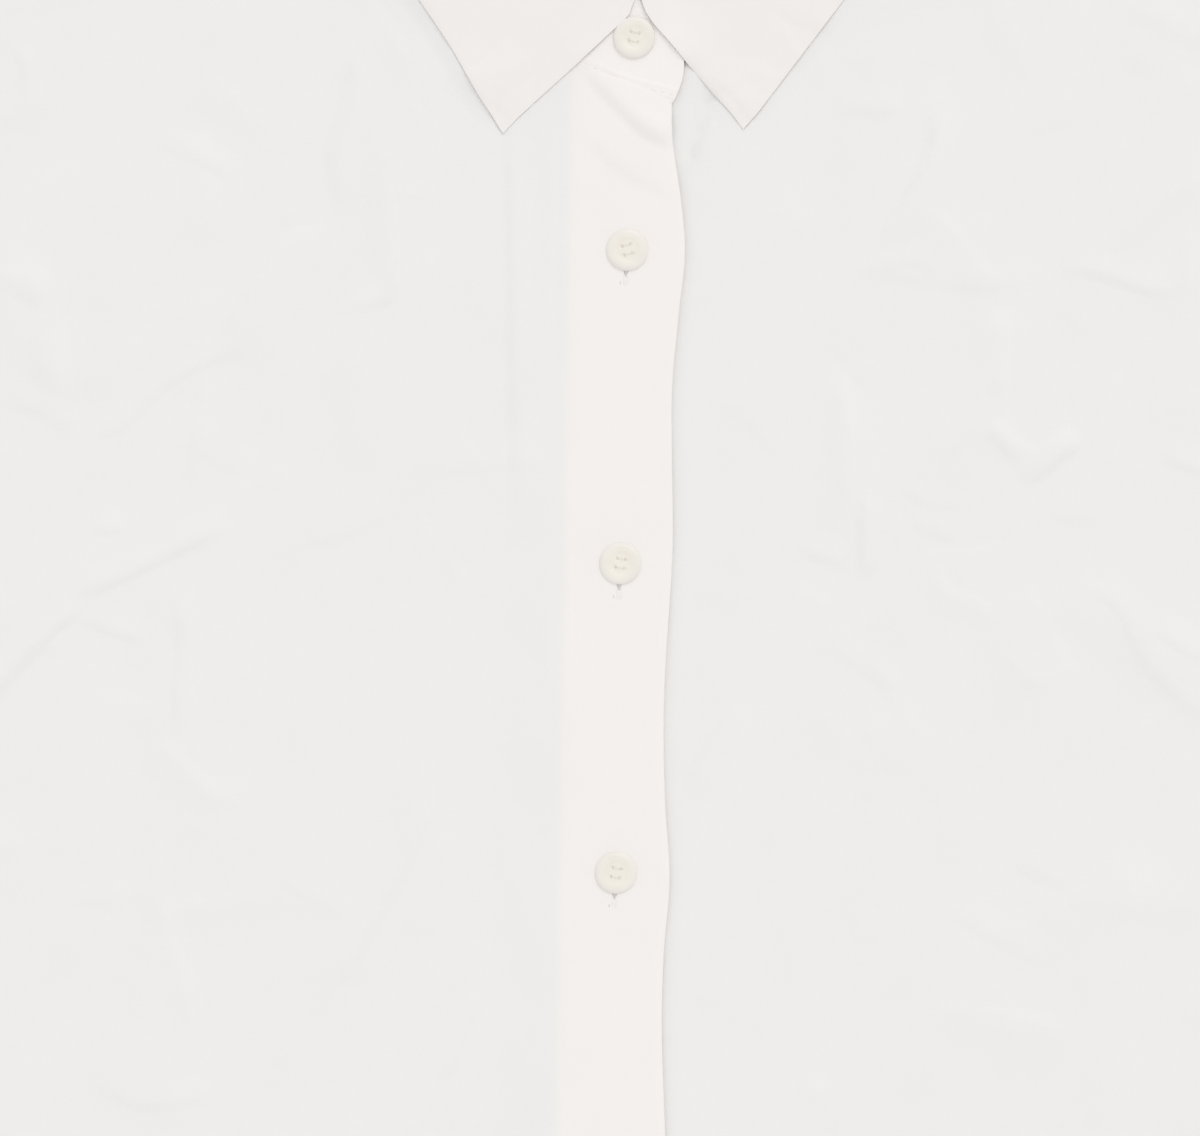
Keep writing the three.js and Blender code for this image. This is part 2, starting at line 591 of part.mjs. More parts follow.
const leftHalf = COLLAR.slice(0, -1).map((row, i) => station(row, -1, i)).reverse();
const around = [...rightHalf, ...leftHalf];

// Points between stations: smooth in plan, with heights that never overshoot.
function column(key, stations) {
  const plan = through(stations.map((s) => [s[key].x, s[key].y]));
  return (t) => {
    const { x, y } = plan.getPoint(t / (stations.length - 1));
    const low = Math.min(Math.floor(t), stations.length - 2);
    return new THREE.Vector3(x, y, mix(stations[low][key].z, stations[low + 1][key].z, smooth(t - low)));
  };
}
function ends({ seam, rim, bulge }, z, rise) {
  const a = new THREE.Vector3(...seam, z);
  const b = new THREE.Vector3(...rim, z + rise);
  return steps(0, 1, 3).map((t) =>
    mixPoint(a, b, t).add(new THREE.Vector3(bulge * Math.sin(Math.PI * t) ** 0.8, 0, 0)),
  );
}
const standShares = steps(0, around.length - 1, (around.length - 1) * SPANS_PER_STATION);
const seamAt = column("seam", around);
const rimAt = column("rim", around);
const standRows = standShares.map((t) =>
  steps(0, 1, 3).map((v) => mixPoint(seamAt(t), rimAt(t), v)),
);
addPiece(
  "collar_stand",
  "doubled",
  clothWall(
    [
      ends(STAND_OVER_END, overBandHeight(...STAND_OVER_END.seam), COLLAR[0].rise),
      ...standRows,
      ends(STAND_UNDER_END, underBandHeight(...STAND_UNDER_END.seam), COLLAR[0].rise),
    ],
    WALL,
  ),
);

// The leaf leaves the rim, rolls over and runs out to its edge.
const tipAt = column("tip", around);
const ROLL_DEPTH = 2.3;
const LEAF_ROLL = [
  // past: beyond the rim, over: across the roll's height
  { past: 0.42, over: 0 },
  { past: 0.9, over: 0.14 },
  { past: 1, over: 0.5 },
  { past: 0.6, over: 0.86 },
];
const LEAF_OUT = [0.05, 0.25, 0.5, 0.76, 1];
const between = (key, t) => {
  const low = Math.min(Math.floor(t), around.length - 2);
  return mix(around[low][key], around[low + 1][key], smooth(t - low));
};
const leafRows = standShares.map((t) => {
  const rim = rimAt(t);
  const tip = tipAt(t);
  const past = rim.clone().sub(seamAt(t)).setZ(0).normalize();
  const turn = THREE.MathUtils.degToRad(between("turn", t));
  const side = t <= rightHalf.length - 1 ? -1 : 1;
  const lean = Math.sin(turn);
  const off = new THREE.Vector3(side * SIDE_LEAN.x * lean, SIDE_LEAN.y * lean, Math.cos(turn));
  const roll = between("roll", t);
  const curl = LEAF_ROLL.map((step) =>
    rim.clone().addScaledVector(past, step.past * ROLL_DEPTH).addScaledVector(off, step.over * roll),
  );
  const crest = rim.clone().addScaledVector(off, roll);
  return [...curl, ...LEAF_OUT.map((s) => mixPoint(crest, tip, s))];
});
addPiece("collar", "doubled", clothWall(leafRows, WALL));

// Buttons: a dished disc with four holes.
function buttonSolid() {
  const { radius, thickness, rimWidth, dish, edge, holeRadius, holeSpread, segments, holeSides } = BUTTON;
  const profile = [
    [0, 0],
    [radius - edge, 0],
    [radius, edge],
    [radius, thickness - edge],
    [radius - edge, thickness],
    [radius - rimWidth, thickness],
    [radius - rimWidth - dish, thickness - dish],
    [0, thickness - dish],
  ];
  const disc = manifold.Manifold.revolve([profile], segments);
  const drill = manifold.Manifold.cylinder(thickness * 2, holeRadius, holeRadius, holeSides, true);
  const holes = [[1, 1], [-1, 1], [-1, -1], [1, -1]].map(([x, y]) =>
    drill.translate(x * holeSpread, y * holeSpread, 0),
  );
  const { vertProperties, triVerts, numProp } = disc.subtract(manifold.Manifold.union(holes)).getMesh();
  return new THREE.BufferGeometry()
    .setAttribute("position", new THREE.BufferAttribute(vertProperties, numProp))
    .setIndex(new THREE.BufferAttribute(triVerts, 1));
}
const buttonShape = buttonSolid();
function addButton(name, x, y, surface, tilt = 0) {
  const button = addPiece(name, "button", buttonShape.clone());
  button.position.set(x, y, surface + WALL / 2 + BUTTON.float);
  button.rotation.x = tilt;
}
BUTTON_PLACES.forEach(({ name, x, y }) => addButton(name, x, y, overBandHeight(x, y)));
const standTilt = Math.atan2(COLLAR[0].rise, COLLAR[0].rim[1] - COLLAR[0].seam[1]);
const standShare = (STAND_BUTTON.y - COLLAR[0].seam[1]) / (COLLAR[0].rim[1] - COLLAR[0].seam[1]);
const standHeight = overBandHeight(...COLLAR[0].seam) + COLLAR[0].rise * standShare + STAND_BUTTON.lift;
addButton(STAND_BUTTON.name, STAND_BUTTON.x, STAND_BUTTON.y, standHeight, standTilt);
const { middle: cuffMiddle, across: cuffAcross, along: cuffAlong } = cuffFrame();
const cuffButton = cuffMiddle
  .clone()
  .addScaledVector(cuffAcross, CUFF.buttonAcross)
  .addScaledVector(cuffAlong, CUFF.length / 2);
const cuffTop = CUFF_WALL * 2.5 + CUFF.layerGap * 2;
const cuffSurface = cuffTop + CUFF_WALL / 2 - WALL / 2;
addButton("button_cuff_left", cuffButton.x, cuffButton.y, cuffSurface);
addButton("button_cuff_right", -cuffButton.x, cuffButton.y, cuffSurface);

// The part's origin is the middle of its bounding box's base.
const box = new THREE.Box3().setFromObject(shirt, true);
const centre = box.getCenter(new THREE.Vector3());
shirt.position.set(-centre.x, -centre.y, -box.min.z);

export default shirt;
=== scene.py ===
"""A creased white button-front shirt laid flat on its back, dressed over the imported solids.

Garment sizes are in millimetres, with x = 0 on the button line, y = 0 at the top of the shoulder and
z = 0 on the table. Meshes are made in metres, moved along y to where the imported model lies."""

import math

import bmesh
import bpy
import numpy as np
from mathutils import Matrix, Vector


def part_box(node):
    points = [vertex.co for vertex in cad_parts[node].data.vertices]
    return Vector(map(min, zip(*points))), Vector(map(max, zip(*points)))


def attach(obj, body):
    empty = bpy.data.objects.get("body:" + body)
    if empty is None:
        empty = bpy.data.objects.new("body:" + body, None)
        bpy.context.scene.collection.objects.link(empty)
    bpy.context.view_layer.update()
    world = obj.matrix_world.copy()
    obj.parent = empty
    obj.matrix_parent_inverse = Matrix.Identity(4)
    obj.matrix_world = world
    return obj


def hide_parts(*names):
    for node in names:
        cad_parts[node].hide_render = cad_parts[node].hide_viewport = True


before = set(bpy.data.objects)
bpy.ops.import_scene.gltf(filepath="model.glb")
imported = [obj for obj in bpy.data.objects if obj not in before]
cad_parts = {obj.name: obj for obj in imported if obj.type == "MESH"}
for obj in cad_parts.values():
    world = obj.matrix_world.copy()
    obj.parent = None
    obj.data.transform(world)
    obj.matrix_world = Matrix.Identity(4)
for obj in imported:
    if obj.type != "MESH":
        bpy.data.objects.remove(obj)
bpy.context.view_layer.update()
MM = 0.001
HEM_MIDDLE_Y = -700
SHIFT_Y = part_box("front_left_band")[0][1] / MM - HEM_MIDDLE_Y
COARSER = 1.0
FAINT_CREASES = 150

# ---------------------------------------------------------------- sizes shared with the solids
WALL = 1.2
LAYER = WALL + 0.6
TABLE_LAYER = WALL / 2
FRONT_LAYER = TABLE_LAYER + LAYER
LOFT = 1.0
LOFT_RUN = 45
LAP = 1.35  # how far the cloth of the over front lies above the under one
SHOULDER, UNDERARM, WAIST, HEM_SIDE = (206, -44), (262, -228), (243, -400), (262, -640)
ARMHOLE = (SHOULDER, (186, -110), (188, -205), UNDERARM)
HEM = ((0, HEM_MIDDLE_Y), (140, -700), (195, -690), HEM_SIDE)
BACK_DROP = 12
YOKE_SHARE = 0.3
BAND_LEFT, BAND_RIGHT_UNDER, BAND_MEET = -14.6, 14.7, 15.2
BAND_EDGE = [
    (-80, 12.4), (-87, 12.6), (-93, 13.2), (-107, 15.4), (-121, 16.6), (-139, 15), (-158, 13.6),
    (-175, 13.8), (-202, 14.3), (-229, 13), (-248, 12.5), (-270, 13.2), (-291, 14.7), (-311, 13.4),
    (-332, 13.1), (-361, 14.4), (-374, 14.8), (-416, 13.2), (-458, 14.6), (-500, 13.4), (-543, 14.6),
    (-620, 14), (-701, 14),
]
BAND_TOP = [(BAND_LEFT, -68.5), (-7.5, -72.2), (3.5, -76), (11.8, -79.2)]
# seam, rim, rise of the rim, leaf edge, roll of the leaf, turn of the leaf round the stand
COLLAR = [
    ((1, -77), (1, -52), 0.6, (-33.9, -88.4), 4.0, 0),
    ((-15.2, -69.9), (-12, -46), 1.2, (-40.6, -78.6), 3.6, 0),
    ((-38, -56), (-30, -33), 2.8, (-51.5, -60.8), 3.2, 0),
    ((-60, -32), (-50, -8), 3.2, (-73, -32), 3.0, 0),
    ((-71.5, -1), (-66, 24), 4.0, (-95.5, -4.5), 2.6, 25),
    ((-73.6, 1.4), (-69.2, 27), 2.2, (-99, -2), 2.4, 90),
    ((-71.5, -1), (-66, 24), 0.4, (-95.5, -4.5), 2.0, 155),
    ((-45, -15), (-40, 15.5), 0.1, (-60, -24), 1.8, 180),
    ((0, -20), (0, 11), 0.1, (0, -32), 1.8, 180),
]
LAST_FRONT_STATION, SIDE_STATION, FIRST_BACK_STATION = 4, 5, 6
LEFT_TIP, LEFT_BESIDE_TIP, LEFT_RIM_X = (32.2, -86.8), (38.7, -78.2), 3.3
NECK_LIFT = {"width": 110, "depth": 44, "fade": 0.5}
SLEEVE_UPPER = ((206, -44), (330, -75), (470, -290), (553, -566))
SLEEVE_LOWER = ((262, -228), (325, -256), (398, -425), (452, -612))
SLEEVE_CLEAR, SLEEVE_HEAD_RUN = (1.1, 1.2), 0.16
CUFF = {"wall": 1.6, "length": 58, "narrower": 5, "under_end": 4, "over_end": -17, "button": -6}
FRONT_BUTTONS = [(0.6, -120.2), (0, -205.4), (0, -289.4), (0, -373.9), (0, -458.4), (0, -543)]
STAND_BUTTON = (1.6, -62.6)
UNDERARM_SHARE = 0.66
NECK_SHARE = 1 - (1 - UNDERARM_SHARE) * 9 / 20
LET_INTO_STAND = 0.6  # how far the fronts and yoke pass into the collar stand
ON_TABLE = 0.32  # the middle of a sheet that lies on the table


# ---------------------------------------------------------------- curves and patches
def smooth(t):
    c = np.clip(t, 0, 1)
    return c * c * (3 - 2 * c)


def hill(off, width):
    return np.exp(-((off / width) ** 2))


def fade_ends(share, run):
    """1 along the middle of a line, down to 0 over a share of it at both ends."""
    return smooth(share / run) * smooth((1 - share) / run)


def unit(v):
    return v / np.maximum(np.linalg.norm(v, axis=-1, keepdims=True), 1e-9)


def steps(a, b, n):
    """Places from a up to, but without, b: the grids are joined from such runs."""
    return np.linspace(a, b, max(3, int(n / COARSER)), endpoint=False)


def even(n):
    return np.linspace(0, 1, int(n / COARSER))


def spline(points, shares):
    """A uniform Catmull-Rom curve through the points, read by share of its spans."""
    p = np.asarray(points, float)
    place = np.clip(np.asarray(shares, float), 0, 1) * (len(p) - 1)
    low = np.minimum(place.astype(int), len(p) - 2)
    t = (place - low)[:, None]
    p0, p1 = p[np.maximum(low - 1, 0)], p[low]
    p2, p3 = p[low + 1], p[np.minimum(low + 2, len(p) - 1)]
    v0, v1 = (p2 - p0) / 2, (p3 - p1) / 2
    return (2 * p1 - 2 * p2 + v0 + v1) * t**3 + (3 * p2 - 3 * p1 - 2 * v0 - v1) * t**2 + v0 * t + p1


def bezier(points, shares):
    a, b, c, d = (np.asarray(q, float) for q in points)
    t = np.asarray(shares, float)[:, None]
    return (1 - t) ** 3 * a + 3 * t * (1 - t) ** 2 * b + 3 * t * t * (1 - t) * c + t**3 * d


def by_length(points):
    """A function that reads a run of points by its share of the length."""
    p = np.asarray(points, float)
    run = np.concatenate([[0], np.cumsum(np.linalg.norm(np.diff(p, axis=0), axis=1))])
    run /= run[-1]
    return lambda t: np.stack([np.interp(t, run, p[:, k]) for k in range(p.shape[1])], axis=-1)


def chained(share, lower, upper):
    """Two such functions as one: the first as far as the share, the second from there on."""
    return lambda t: np.where((t <= share)[:, None], lower(t / share), upper((t - share) / (1 - share)))


def line(a, b):
    return by_length([a, b])


def flip(points, side):
    return np.asarray(points, float) * (side, 1)


DENSE = np.linspace(0, 1, 240)


def side_seam(side):
    return by_length(flip(spline([HEM_SIDE, WAIST, UNDERARM], DENSE), side))


def armhole_up(side, top=0.0):
    """The armhole from the underarm up, stopping at a share of it from the shoulder."""
    return lambda t: flip(bezier(ARMHOLE, 1 - np.asarray(t) * (1 - top)), side)


def hem(side, start, drop):
    p = bezier(HEM, DENSE)
    share = p[:, 0] / HEM_SIDE[0]
    x = start + (HEM_SIDE[0] - start) * share
    return by_length(np.stack([x * side, p[:, 1] - drop * (1 - smooth(share))], axis=-1))


def patch(left, right, bottom, top, across, up):
    """A grid of places between four sides, each of them read by share."""
    u, v = across[None, :, None], up[:, None, None]
    sides = (1 - u) * left(up)[:, None] + u * right(up)[:, None]
    ends = (1 - v) * bottom(across)[None] + v * top(across)[None]
    both = np.array([0.0, 1.0])
    (low_left, high_left), (low_right, high_right) = left(both), right(both)
    corners = (1 - v) * ((1 - u) * low_left + u * low_right) + v * ((1 - u) * high_left + u * high_right)
    return sides + ends - corners


NECK_SEAMS = [row[0] for row in COLLAR] + [(45, -15)]
NECK_RIMS = [row[1] for row in COLLAR] + [(40, 15.5)]


def neck_edge(side, first, last, count, let_in=LET_INTO_STAND):
    """The body's edge at the neck, let a little into the stand."""
    shares = np.linspace(first, last, count) / len(COLLAR)
    seam, rim = spline(NECK_SEAMS, shares), spline(NECK_RIMS, shares)
    return flip(seam + unit(rim - seam) * let_in, side)


NECK_SIDE = neck_edge(1, LAST_FRONT_STATION, LAST_FRONT_STATION + 1, 2)[0]


# ---------------------------------------------------------------- distance to lines
def nearest(X, Y, points):
    """Distance, share along and side of the nearest place on a run of points."""
    p = np.asarray(points, float)
    lengths = np.linalg.norm(np.diff(p, axis=0), axis=1)
    starts = np.concatenate([[0], np.cumsum(lengths)])
    best = np.full(X.shape, np.inf)
    share, side = np.zeros(X.shape), np.zeros(X.shape)
    for k in np.flatnonzero(lengths):
        d = p[k + 1] - p[k]
        ax, ay = X - p[k, 0], Y - p[k, 1]
        raw = (ax * d[0] + ay * d[1]) / (lengths[k] ** 2)
        t = np.clip(raw, 0, 1)
        off = np.hypot(ax - t * d[0], ay - t * d[1])
        closer = off < best
        best = np.where(closer, off, best)
        beyond = raw if k in (0, len(p) - 2) else t
        share = np.where(closer, (starts[k] + beyond * lengths[k]), share)
        side = np.where(closer, np.sign(ax * d[1] - ay * d[0]), side)
    return best, share / starts[-1], side


OUTLINE = np.concatenate(
    [
        hem(1, 0, 0)(np.linspace(0, 1, 60)),
        side_seam(1)(np.linspace(0, 1, 30)),
        armhole_up(1)(np.linspace(0, 1, 30)),
        line(SHOULDER, (abs(NECK_SIDE[0]), NECK_SIDE[1]))(np.linspace(0, 1, 6)),
    ]
)


def edge_distance(X, Y):
    return nearest(np.abs(X), Y, OUTLINE)[0]


# ---------------------------------------------------------------- creases
# The largest creases, as in the solids: from, to, bow, height, width.
RIGHT_FOLDS = [
    ((-170, -114), (-147, -164), -7, 1.7, 8), ((-150, -173), (-98, -146), 3, -0.8, 9),
    ((-146, -162), (-104, -138), 3, 1.0, 9), ((-66, -78), (-64, -136), 3, 1.6, 8),
    ((-79, -76), (-81, -124), -3, -0.8, 7), ((-66, -132), (-104, -160), 5, 1.1, 10),
    ((-172, -246), (-146, -217), 2, -0.9, 7), ((-166, -228), (-108, -192), 4, 1.4, 9),
    ((-121, -205), (-121, -262), -3, 1.0, 9), ((-112, -208), (-55, -188), 3, 0.8, 10),
    ((-44, -246), (-78, -332), 6, 1.0, 12), ((-150, -342), (-102, -352), -3, 1.1, 11),
    ((-150, -430), (-70, -465), -8, 1.3, 14), ((-205, -520), (-120, -560), 9, 1.5, 15),
    ((-60, -560), (-90, -650), 6, 1.2, 14), ((-190, -330), (-215, -420), -6, 1.2, 13),
]
LEFT_FOLDS = [
    ((84, -72), (64, -122), 7, 1.3, 8), ((74, -104), (108, -130), -3, 1.2, 9),
    ((118, -122), (156, -124), -3, 1.1, 8), ((128, -124), (158, -94), 3, 1.0, 9),
    ((103, -134), (85, -182), 5, 1.5, 8), ((97, -163), (124, -170), -4, 1.0, 8),
    ((60, -150), (63, -208), 2, 1.3, 8), ((84, -202), (112, -240), 4, 1.3, 9),
    ((118, -210), (164, -246), 4, 1.6, 8), ((114, -222), (156, -258), 4, -0.8, 7),
    ((54, -238), (78, -262), 3, 1.0, 9), ((104, -282), (164, -298), -4, 1.1, 12),
    ((88, -322), (128, -331), -3, 1.2, 10), ((70, -400), (150, -440), -8, 1.3, 14),
    ((205, -480), (110, -530), -9, 1.5, 15), ((60, -580), (100, -655), -6, 1.2, 14),
    ((185, -320), (212, -410), 6, 1.2, 13),
]
# Finer creases placed one by one. Each row is a height, half the width of the steep side and then the x and
# y of the points of the steep side's line. The steep side faces the window where the height is above nothing,
# and away from it where it is below.
RIGHT_CREASES = [
    (-0.43, 2, -173, -129, -165, -134, -158, -139),
    (0.4, 2, -162, -122, -156, -133, -155, -147, -153, -156, -147, -164),
    (-0.36, 2.8, -168, -124, -161, -135, -160, -149, -158, -158, -152, -166),
    (-0.34, 1.8, -168, -165, -158, -167, -149, -173),
    (-0.38, 1.8, -150, -178, -135, -170, -127, -162, -115, -154, -98, -148),
    (-0.85, 1.7, -175, -251, -158, -231, -147, -221, -144, -218),
    (-0.38, 1.6, -148, -222, -140, -226, -128, -229), (-0.28, 1.4, -158, -231, -151, -232),
    (-0.58, 1.7, -150, -219, -131, -210, -111, -200, -104, -197),
    (-0.28, 2.1, -88, -202, -76, -200, -60, -192), (-0.21, 1.9, -57, -182, -33, -180, -14, -180),
    (-0.48, 1.8, -74, -58, -76, -76, -81, -96, -79, -112), (-0.24, 1.8, -95, -115, -79, -112),
    (0.7, 2.6, -79, -112, -90, -117, -97, -124, -106, -139, -112, -150),
    (0.44, 1.5, -65, -84, -64, -107, -62.5, -131, -69, -136, -82, -139),
    (-0.24, 3.4, -76, -141, -77, -160, -75, -186), (0.38, 2.4, -72, -50, -62, -64, -59, -75, -52, -92),
    (-0.52, 1.7, -122, -212, -120, -228, -121, -250, -119, -258), (-0.26, 1.8, -116, -150, -118, -193),
    (0.4, 2.2, -126, -253, -116, -262, -106, -272), (-0.24, 1.8, -114, -272, -102, -273),
    (-0.2, 2.2, -160, -301, -122, -299), (0.2, 1.7, -126, -301, -105, -298, -86, -295),
    (0.34, 1.7, -124, -270, -122, -301, -115, -324, -111, -346),
    (-0.6, 1.8, -47, -258, -53, -279, -59, -294, -69, -312, -81, -332),
    (0.46, 1.4, -36, -322, -40, -335, -45, -348),
    (-0.34, 1.7, -143, -348, -135, -353, -126, -355.5, -105, -352),
    (-0.5, 1.8, -173, -86, -165, -80, -167, -66), (-0.6, 2.1, -33, -74, -31.5, -134, -29, -200),
    (0.3, 1.5, -20, -84, -19.5, -120, -21, -170), (-0.22, 2.4, -22, -214, -21, -245),
    (-0.32, 1.3, -144, -199.5, -135, -198.5), (-0.12, 1.2, -93, -107, -60, -107, -38, -106),
    # guessed, beyond what is shown
    (-0.4, 1.8, -150, -398, -122, -404, -96, -420), (-0.46, 1.8, -215, -372, -190, -392, -181, -420),
    (0.44, 1.8, -60, -400, -52, -430, -56, -462), (-0.36, 1.9, -190, -452, -158, -446, -128, -458),
    (-0.34, 1.7, -110, -486, -84, -500, -46, -498), (-0.44, 2, -222, -540, -200, -566, -162, -574),
    (0.46, 1.8, -140, -520, -128, -548, -136, -590), (-0.36, 1.7, -64, -560, -40, -584, -32, -618),
    (0.3, 1.9, -196, -618, -160, -630, -118, -622), (-0.34, 1.8, -104, -636, -80, -662, -44, -668),
    (-0.48, 1.9, -182, -196, -196, -222, -226, -238), (-0.42, 1.9, -236, -262, -212, -286, -196, -318),
    (-0.32, 2, -180, -60, -150, -54, -118, -40), (0.36, 1.9, -120, -70, -104, -46, -98, -24),
]
LEFT_CREASES = [
    (-0.38, 1.7, 56, -80.5, 66, -82, 76, -82.5),
    (-0.6, 1.7, 82, -76, 82, -90, 77, -103, 71, -112, 66, -119), (0.26, 2.2, 76, -104, 88, -111, 104, -130),
    (-0.24, 1.8, 52, -122, 66, -125.5, 84, -128.5, 102, -129.5, 118, -126),
    (-0.25, 1.7, 68, -126, 78, -123, 87, -127), (-0.44, 1.5, 117, -124, 131, -126, 143, -130, 153, -129),
    (-0.46, 1.5, 151, -110, 150, -130), (0.52, 1.6, 131, -119, 138.6, -110, 147, -102, 158, -94),
    (0.58, 1.7, 60, -150, 62, -165, 62, -190), (0.26, 1.7, 61, -153, 68, -147),
    (-0.55, 1.5, 65, -184, 65, -209), (-0.3, 1.7, 85, -180, 97, -166, 100, -150),
    (0.6, 2, 103, -160, 104, -134), (0.34, 1.6, 99, -163, 110, -172, 116, -171, 123, -165),
    (-0.32, 1.6, 98, -167, 108, -177), (-0.68, 1.7, 110, -184, 120, -175, 127, -171),
    (-0.4, 1.8, 146, -175, 160, -179.5), (-0.3, 1.8, 78, -194, 93, -199),
    (-0.38, 1.6, 48, -201.5, 62, -206), (-0.22, 2.6, 116, -192, 131, -192),
    (0.34, 1.7, 86, -203, 90, -211, 98, -214, 104, -220), (-0.28, 1.8, 103, -230, 116, -240),
    (0.22, 2.4, 110, -207, 120, -227, 125, -240),
    (-0.36, 1.7, 123, -211.5, 131, -213.5, 136, -217.5, 144, -232.5, 162, -249),
    (-0.32, 1.7, 143, -221, 160, -231), (-0.26, 1.8, 54, -226, 68, -235, 78, -242),
    (0.18, 2.2, 54, -242, 72, -260), (-0.32, 2, 106, -285, 125, -294), (-0.26, 4.4, 131, -298, 162, -300),
    (-0.28, 2.1, 87, -298, 102, -306, 116, -314), (-0.2, 2.2, 64, -307, 74, -306),
    (0.24, 2.1, 84, -322, 113, -327, 128, -329), (0.3, 1.7, 52, -343, 60, -349),
    (0.46, 1.7, 17.5, -268, 24, -256, 34, -241), (-0.5, 1.6, 20, -78, 19, -87, 15.4, -93),
    # guessed, beyond what is shown
    (-0.34, 1.8, 44, -384, 72, -392, 104, -386), (-0.44, 1.9, 214, -350, 190, -372, 164, -376),
    (-0.38, 1.8, 128, -410, 150, -430, 190, -436), (0.46, 1.8, 64, -440, 58, -470, 68, -504),
    (-0.36, 1.7, 96, -486, 124, -500, 160, -494), (0.44, 1.9, 226, -470, 206, -500, 210, -536),
    (-0.34, 1.8, 40, -536, 72, -548, 98, -570), (-0.42, 2, 140, -560, 168, -572, 214, -566),
    (0.42, 1.8, 112, -600, 104, -632, 116, -660), (-0.32, 1.9, 150, -624, 190, -640, 222, -632),
    (-0.46, 1.9, 186, -186, 198, -214, 222, -240), (-0.4, 1.9, 232, -276, 206, -296, 190, -330),
    (-0.34, 2, 178, -64, 150, -60, 120, -44), (0.34, 1.9, 112, -72, 100, -48, 96, -26),
]
BAND_CREASES = [
    (-1.15, 2.6, -13.5, -70, -6, -78, -1, -83, 6, -89, 16, -93),
    (-0.46, 3, -13, -88, -7, -94, 1, -100, 9, -104, 16, -106), (0.34, 1.4, 2, -81, 8, -84.5, 13, -86),
]
BACK_CREASES = [
    (-0.9, 2.6, -150, -150, -110, -166, -72, -158), (0.9, 2.8, -60, -190, -24, -214, 20, -216),
    (-0.8, 2.4, 60, -140, 96, -160, 150, -166), (0.9, 2.6, -190, -300, -150, -318, -122, -352),
    (-0.9, 2.4, -90, -270, -84, -330, -96, -392), (-0.8, 2.8, -20, -300, 30, -330, 92, -336),
    (0.9, 2.6, 130, -250, 172, -286, 214, -292), (-0.9, 2.6, 120, -380, 84, -420, 74, -474),
    (0.8, 2.4, -40, -430, -8, -470, -14, -530), (-0.8, 2.6, -200, -450, -160, -480, -110, -486),
    (0.8, 2.6, -120, -560, -70, -580, -20, -620), (-0.9, 2.8, 60, -560, 110, -590, 180, -596),
    (-0.8, 2.4, -210, -620, -170, -640, -130, -676), (0.8, 2.6, 190, -430, 214, -480, 208, -540),
]
# The same for each sleeve, both written as if it were the left one.
LEFT_SLEEVE_CREASES = [
    (-0.8, 2.2, 240, -110, 270, -128, 300, -160), (0.8, 2.4, 300, -130, 322, -170, 326, -210),
    (-0.8, 2.2, 290, -230, 330, -236, 372, -224), (-0.9, 2.4, 350, -210, 372, -256, 374, -300),
    (0.7, 2.4, 340, -300, 384, -306, 430, -290), (-0.9, 2.2, 400, -300, 410, -340, 440, -378),
    (-0.9, 2.4, 392, -390, 430, -396, 470, -380), (0.8, 2.2, 450, -410, 456, -450, 486, -488),
    (-0.8, 2.2, 424, -470, 462, -478, 500, -462), (0.7, 2.2, 452, -520, 480, -540, 520, -536),
]
RIGHT_SLEEVE_CREASES = [
    (0.7, 2.2, 252, -150, 282, -150, 318, -132), (-0.9, 2.4, 276, -190, 300, -214, 346, -220),
    (-0.8, 2.2, 330, -180, 352, -214, 396, -232), (0.8, 2.4, 338, -266, 370, -280, 394, -322),
    (-0.9, 2.2, 380, -260, 420, -280, 440, -316), (-0.8, 2.4, 372, -350, 410, -352, 446, -336),
    (0.8, 2.2, 410, -410, 440, -428, 488, -424), (-0.9, 2.2, 462, -376, 470, -420, 500, -450),
    (-0.8, 2.4, 436, -500, 474, -500, 512, -516), (0.7, 2.2, 468, -560, 500, -560, 536, -548),
]

WINDOW_WAY = np.array([0.41, 0.91])  # the way to the window, seen from above
SOFT_SIDE = 3.2  # how many times as wide the soft side of a crease is as the steep one
CREASE_SCALE, CREASE_NARROW = 1.2, 0.68
CREASE_END = 0.26  # share of a crease's length over which it dies away
GROOVE = 0.35  # how much of a crease that runs the way the light comes is a plain groove or ridge
FOLD_SHARE = 0.42  # the cloth lies flatter over a fold than its solid
UNEVEN = ((0.22, 46), (0.09, 19), (0.025, 7))  # height and size of the cloth's unevenness
FAINT_HEIGHT, FAINT_LENGTH, FAINT_WIDTHS = 0.21, 42, (1.2, 2.6)


def crease_heights(X, Y, path, height, width):
    """A crease with its steep side on the line and a long soft side behind it, dying away at both ends."""
    points = spline(path, np.linspace(0, 1, 4 * len(path)))
    width = width * CREASE_NARROW
    reach = width * (1 + 2 * SOFT_SIDE)
    low, high = points.min(axis=0) - reach, points.max(axis=0) + reach
    near = (X > low[0]) & (X < high[0]) & (Y > low[1]) & (Y < high[1])
    out = np.zeros(X.shape)
    if near.any():
        off, share, side = nearest(X[near], Y[near], points)
        run = points[-1] - points[0]
        facing = WINDOW_WAY @ (run[1], -run[0]) / np.hypot(*run)
        behind = -np.sign(height) * np.sign(facing) * side * off
        rise = smooth((behind + width) / (2 * width))
        fall = 1 - smooth((behind - width) / (2 * SOFT_SIDE * width))
        groove = np.sign(height) * GROOVE * (1 - facing**2) * hill(off, width)
        out[near] = CREASE_SCALE * abs(height) * (rise * fall + groove) * fade_ends(share, CREASE_END)
    return out


def creases(X, Y, rows):
    return sum(crease_heights(X, Y, np.reshape(points, (-1, 2)), h, width) for h, width, *points in rows)


